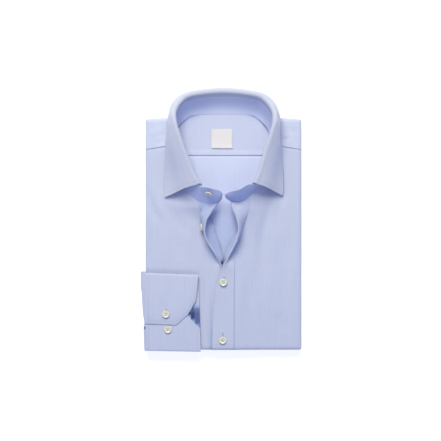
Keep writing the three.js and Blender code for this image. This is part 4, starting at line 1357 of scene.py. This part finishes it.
class SHIRT_OT_sewing(ShirtOperator):
    """Build the top stitching and the worked buttonholes"""
    bl_idname = "shirt.sewing"
    bl_label = "Sewing"

    def execute(self, context):
        settings = settings_of(context)
        thread = material("thread", sewing_thread, settings.thread_colour)
        inset, seam = settings.stitch_inset / MM, settings.seam_inset / MM
        wide, thin = settings.interlined_wall / MM / 2, settings.wall / MM / 2
        leaf, cuff = leaf_grid(), cuff_grid()
        strips = {side: strip_grid(side) for side in (-1, 1)}
        cuff_half = wide - CUFF_THINNER / 2
        runs = [
            run_down(leaf, inset, True, wide, UP, 3, -3),
            run_across(leaf, inset, False, wide, UP, 12, -6),
            run_across(leaf, inset, True, wide, UP, 12, -6),
            run_across(inside_yoke_grid(), seam, False, thin, UP),
            run_across(cuff, inset, True, cuff_half, UP, 3, -3),
            run_down(cuff, inset, True, cuff_half, UP, 57, -4),
            run_down(cuff, 2 * seam, False, cuff_half, UP, 57, -1),
            run_down(cuff, 2 * seam, False, cuff_half, UP, 1, 18),
        ]
        for side, strip in strips.items():
            runs.append(run_down(strip, seam, False, wide, UP, 14, -2))
            runs.append(run_down(strip, inset, True, wide, UP, 14, -2))
            runs.append(run_across(shoulder_grid(side), seam, False, thin, UP, 14, -1))
        size = (settings.stitch_pitch * 0.72, settings.stitch_thickness, settings.stitch_thickness)
        sewn("top_stitching", runs, settings.stitch_pitch, size, thread)
        self.buttonholes(strips[1], cuff, thread)
        return {"FINISHED"}

    @staticmethod
    def buttonholes(strip, cuff, thread):
        """Slits worked round with close stitches, under the buttons and on the open strip, each with a line
        of painted shade along its middle.
        """
        places = [(strip, x, y) for x, y in STRIP_BUTTONHOLES]
        places += [(cuff, x, y) for x, y in CUFF_BUTTONHOLES]
        worked = [buttonhole(grid, x, y, BUTTONHOLE_WIDTH) for grid, x, y in places]
        # Painted shade: a dark line along the middle of each slit
        slit_shade_runs = [buttonhole(grid, x, y, SLIT_WIDTH) for grid, x, y in places]
        sewn("buttonhole_edges", worked, 0.5 * MM, (0.42 * MM, 0.9 * MM, 0.4 * MM), thread)
        slit_shade_thread = material("slit", sewing_thread, (0.14, 0.18, 0.36))
        sewn("buttonhole_slit_shade", slit_shade_runs, 0.6 * MM, (0.8 * MM, 0.5 * MM, 0.5 * MM), slit_shade_thread)


class SHIRT_OT_stage(ShirtOperator):
    """Build the floor, the lights and the camera"""
    bl_idname = "shirt.stage"
    bl_label = "Stage"

    CAMERA_PLACE = (-4.5 * MM, 20.5 * MM, 2.225)
    CAMERA_LENS = 119.7
    FLOOR_HALF = 3.0
    LIGHTS = {
        "key": {"place": (-0.25, 1.45, 1.75), "size": 1.1, "power": 56.0, "colour": (1.0, 0.94, 0.64)},
        "fill": {"place": (0.3, -1.6, 1.9), "size": 1.4, "power": 5.5, "colour": (1.0, 0.97, 0.9)},
    }
    SKY_COLOUR = (0.60, 0.71, 1.0)
    SKY_STRENGTH = 0.52

    def execute(self, context):
        scene = context.scene
        mesh = bpy.data.meshes.new("floor")
        half = self.FLOOR_HALF
        corners = [(-half, -half, 0), (half, -half, 0), (half, half, 0), (-half, half, 0)]
        mesh.from_pydata(corners, [], [(0, 1, 2, 3)])
        floor = new_object("floor", mesh)
        floor.data.materials.append(material("pale_floor", pale_floor, settings_of(context).floor_colour))
        for name, values in self.LIGHTS.items():
            self.light(name, **values)
        world = bpy.data.worlds.new("studio")
        world.use_nodes = True
        sky = world.node_tree.nodes["Background"]
        sky.inputs["Color"].default_value = rgba(self.SKY_COLOUR)
        sky.inputs["Strength"].default_value = self.SKY_STRENGTH
        scene.world = world
        scene.view_settings.view_transform = "Standard"
        camera = bpy.data.objects.new("camera", bpy.data.cameras.new("camera"))
        camera.data.lens = self.CAMERA_LENS
        camera.data.clip_end = 20.0
        camera.location = self.CAMERA_PLACE
        scene.collection.objects.link(camera)
        scene.camera = camera
        return {"FINISHED"}

    @staticmethod
    def light(name, place, size, power, colour):
        lamp = bpy.data.lights.new(name, "AREA")
        lamp.size, lamp.energy, lamp.color = size, power, colour
        holder = bpy.data.objects.new(name, lamp)
        holder.location = place
        holder.rotation_euler = (Vector((0, 0, 0)) - Vector(place)).to_track_quat("-Z", "Y").to_euler()
        bpy.context.scene.collection.objects.link(holder)


class SHIRT_PT_panel(bpy.types.Panel):
    """Lists the shirt's pieces in the sidebar"""
    bl_idname = "SHIRT_PT_panel"
    bl_label = "Folded Dress Shirt"
    bl_space_type = "VIEW_3D"
    bl_region_type = "UI"
    bl_category = "Shirt"

    def draw(self, context):
        for name in ShirtSettings.__annotations__:
            self.layout.prop(settings_of(context), name)
        for step in STEPS:
            self.layout.operator(step.bl_idname)


STEPS = [SHIRT_OT_stage, SHIRT_OT_hidden_layers, SHIRT_OT_body, SHIRT_OT_strips, SHIRT_OT_collar,
         SHIRT_OT_sleeve, SHIRT_OT_buttons, SHIRT_OT_sewing]
CLASSES = [ShirtSettings, *STEPS, SHIRT_PT_panel]


def register():
    for item in CLASSES:
        bpy.utils.register_class(item)
    bpy.types.Scene.shirt_settings = bpy.props.PointerProperty(type=ShirtSettings)


def unregister():
    del bpy.types.Scene.shirt_settings
    for item in reversed(CLASSES):
        bpy.utils.unregister_class(item)


def main():
    register()
    for step in STEPS:
        group, name = step.bl_idname.split(".")
        getattr(getattr(bpy.ops, group), name)()


if __name__ == "__main__":
    main()
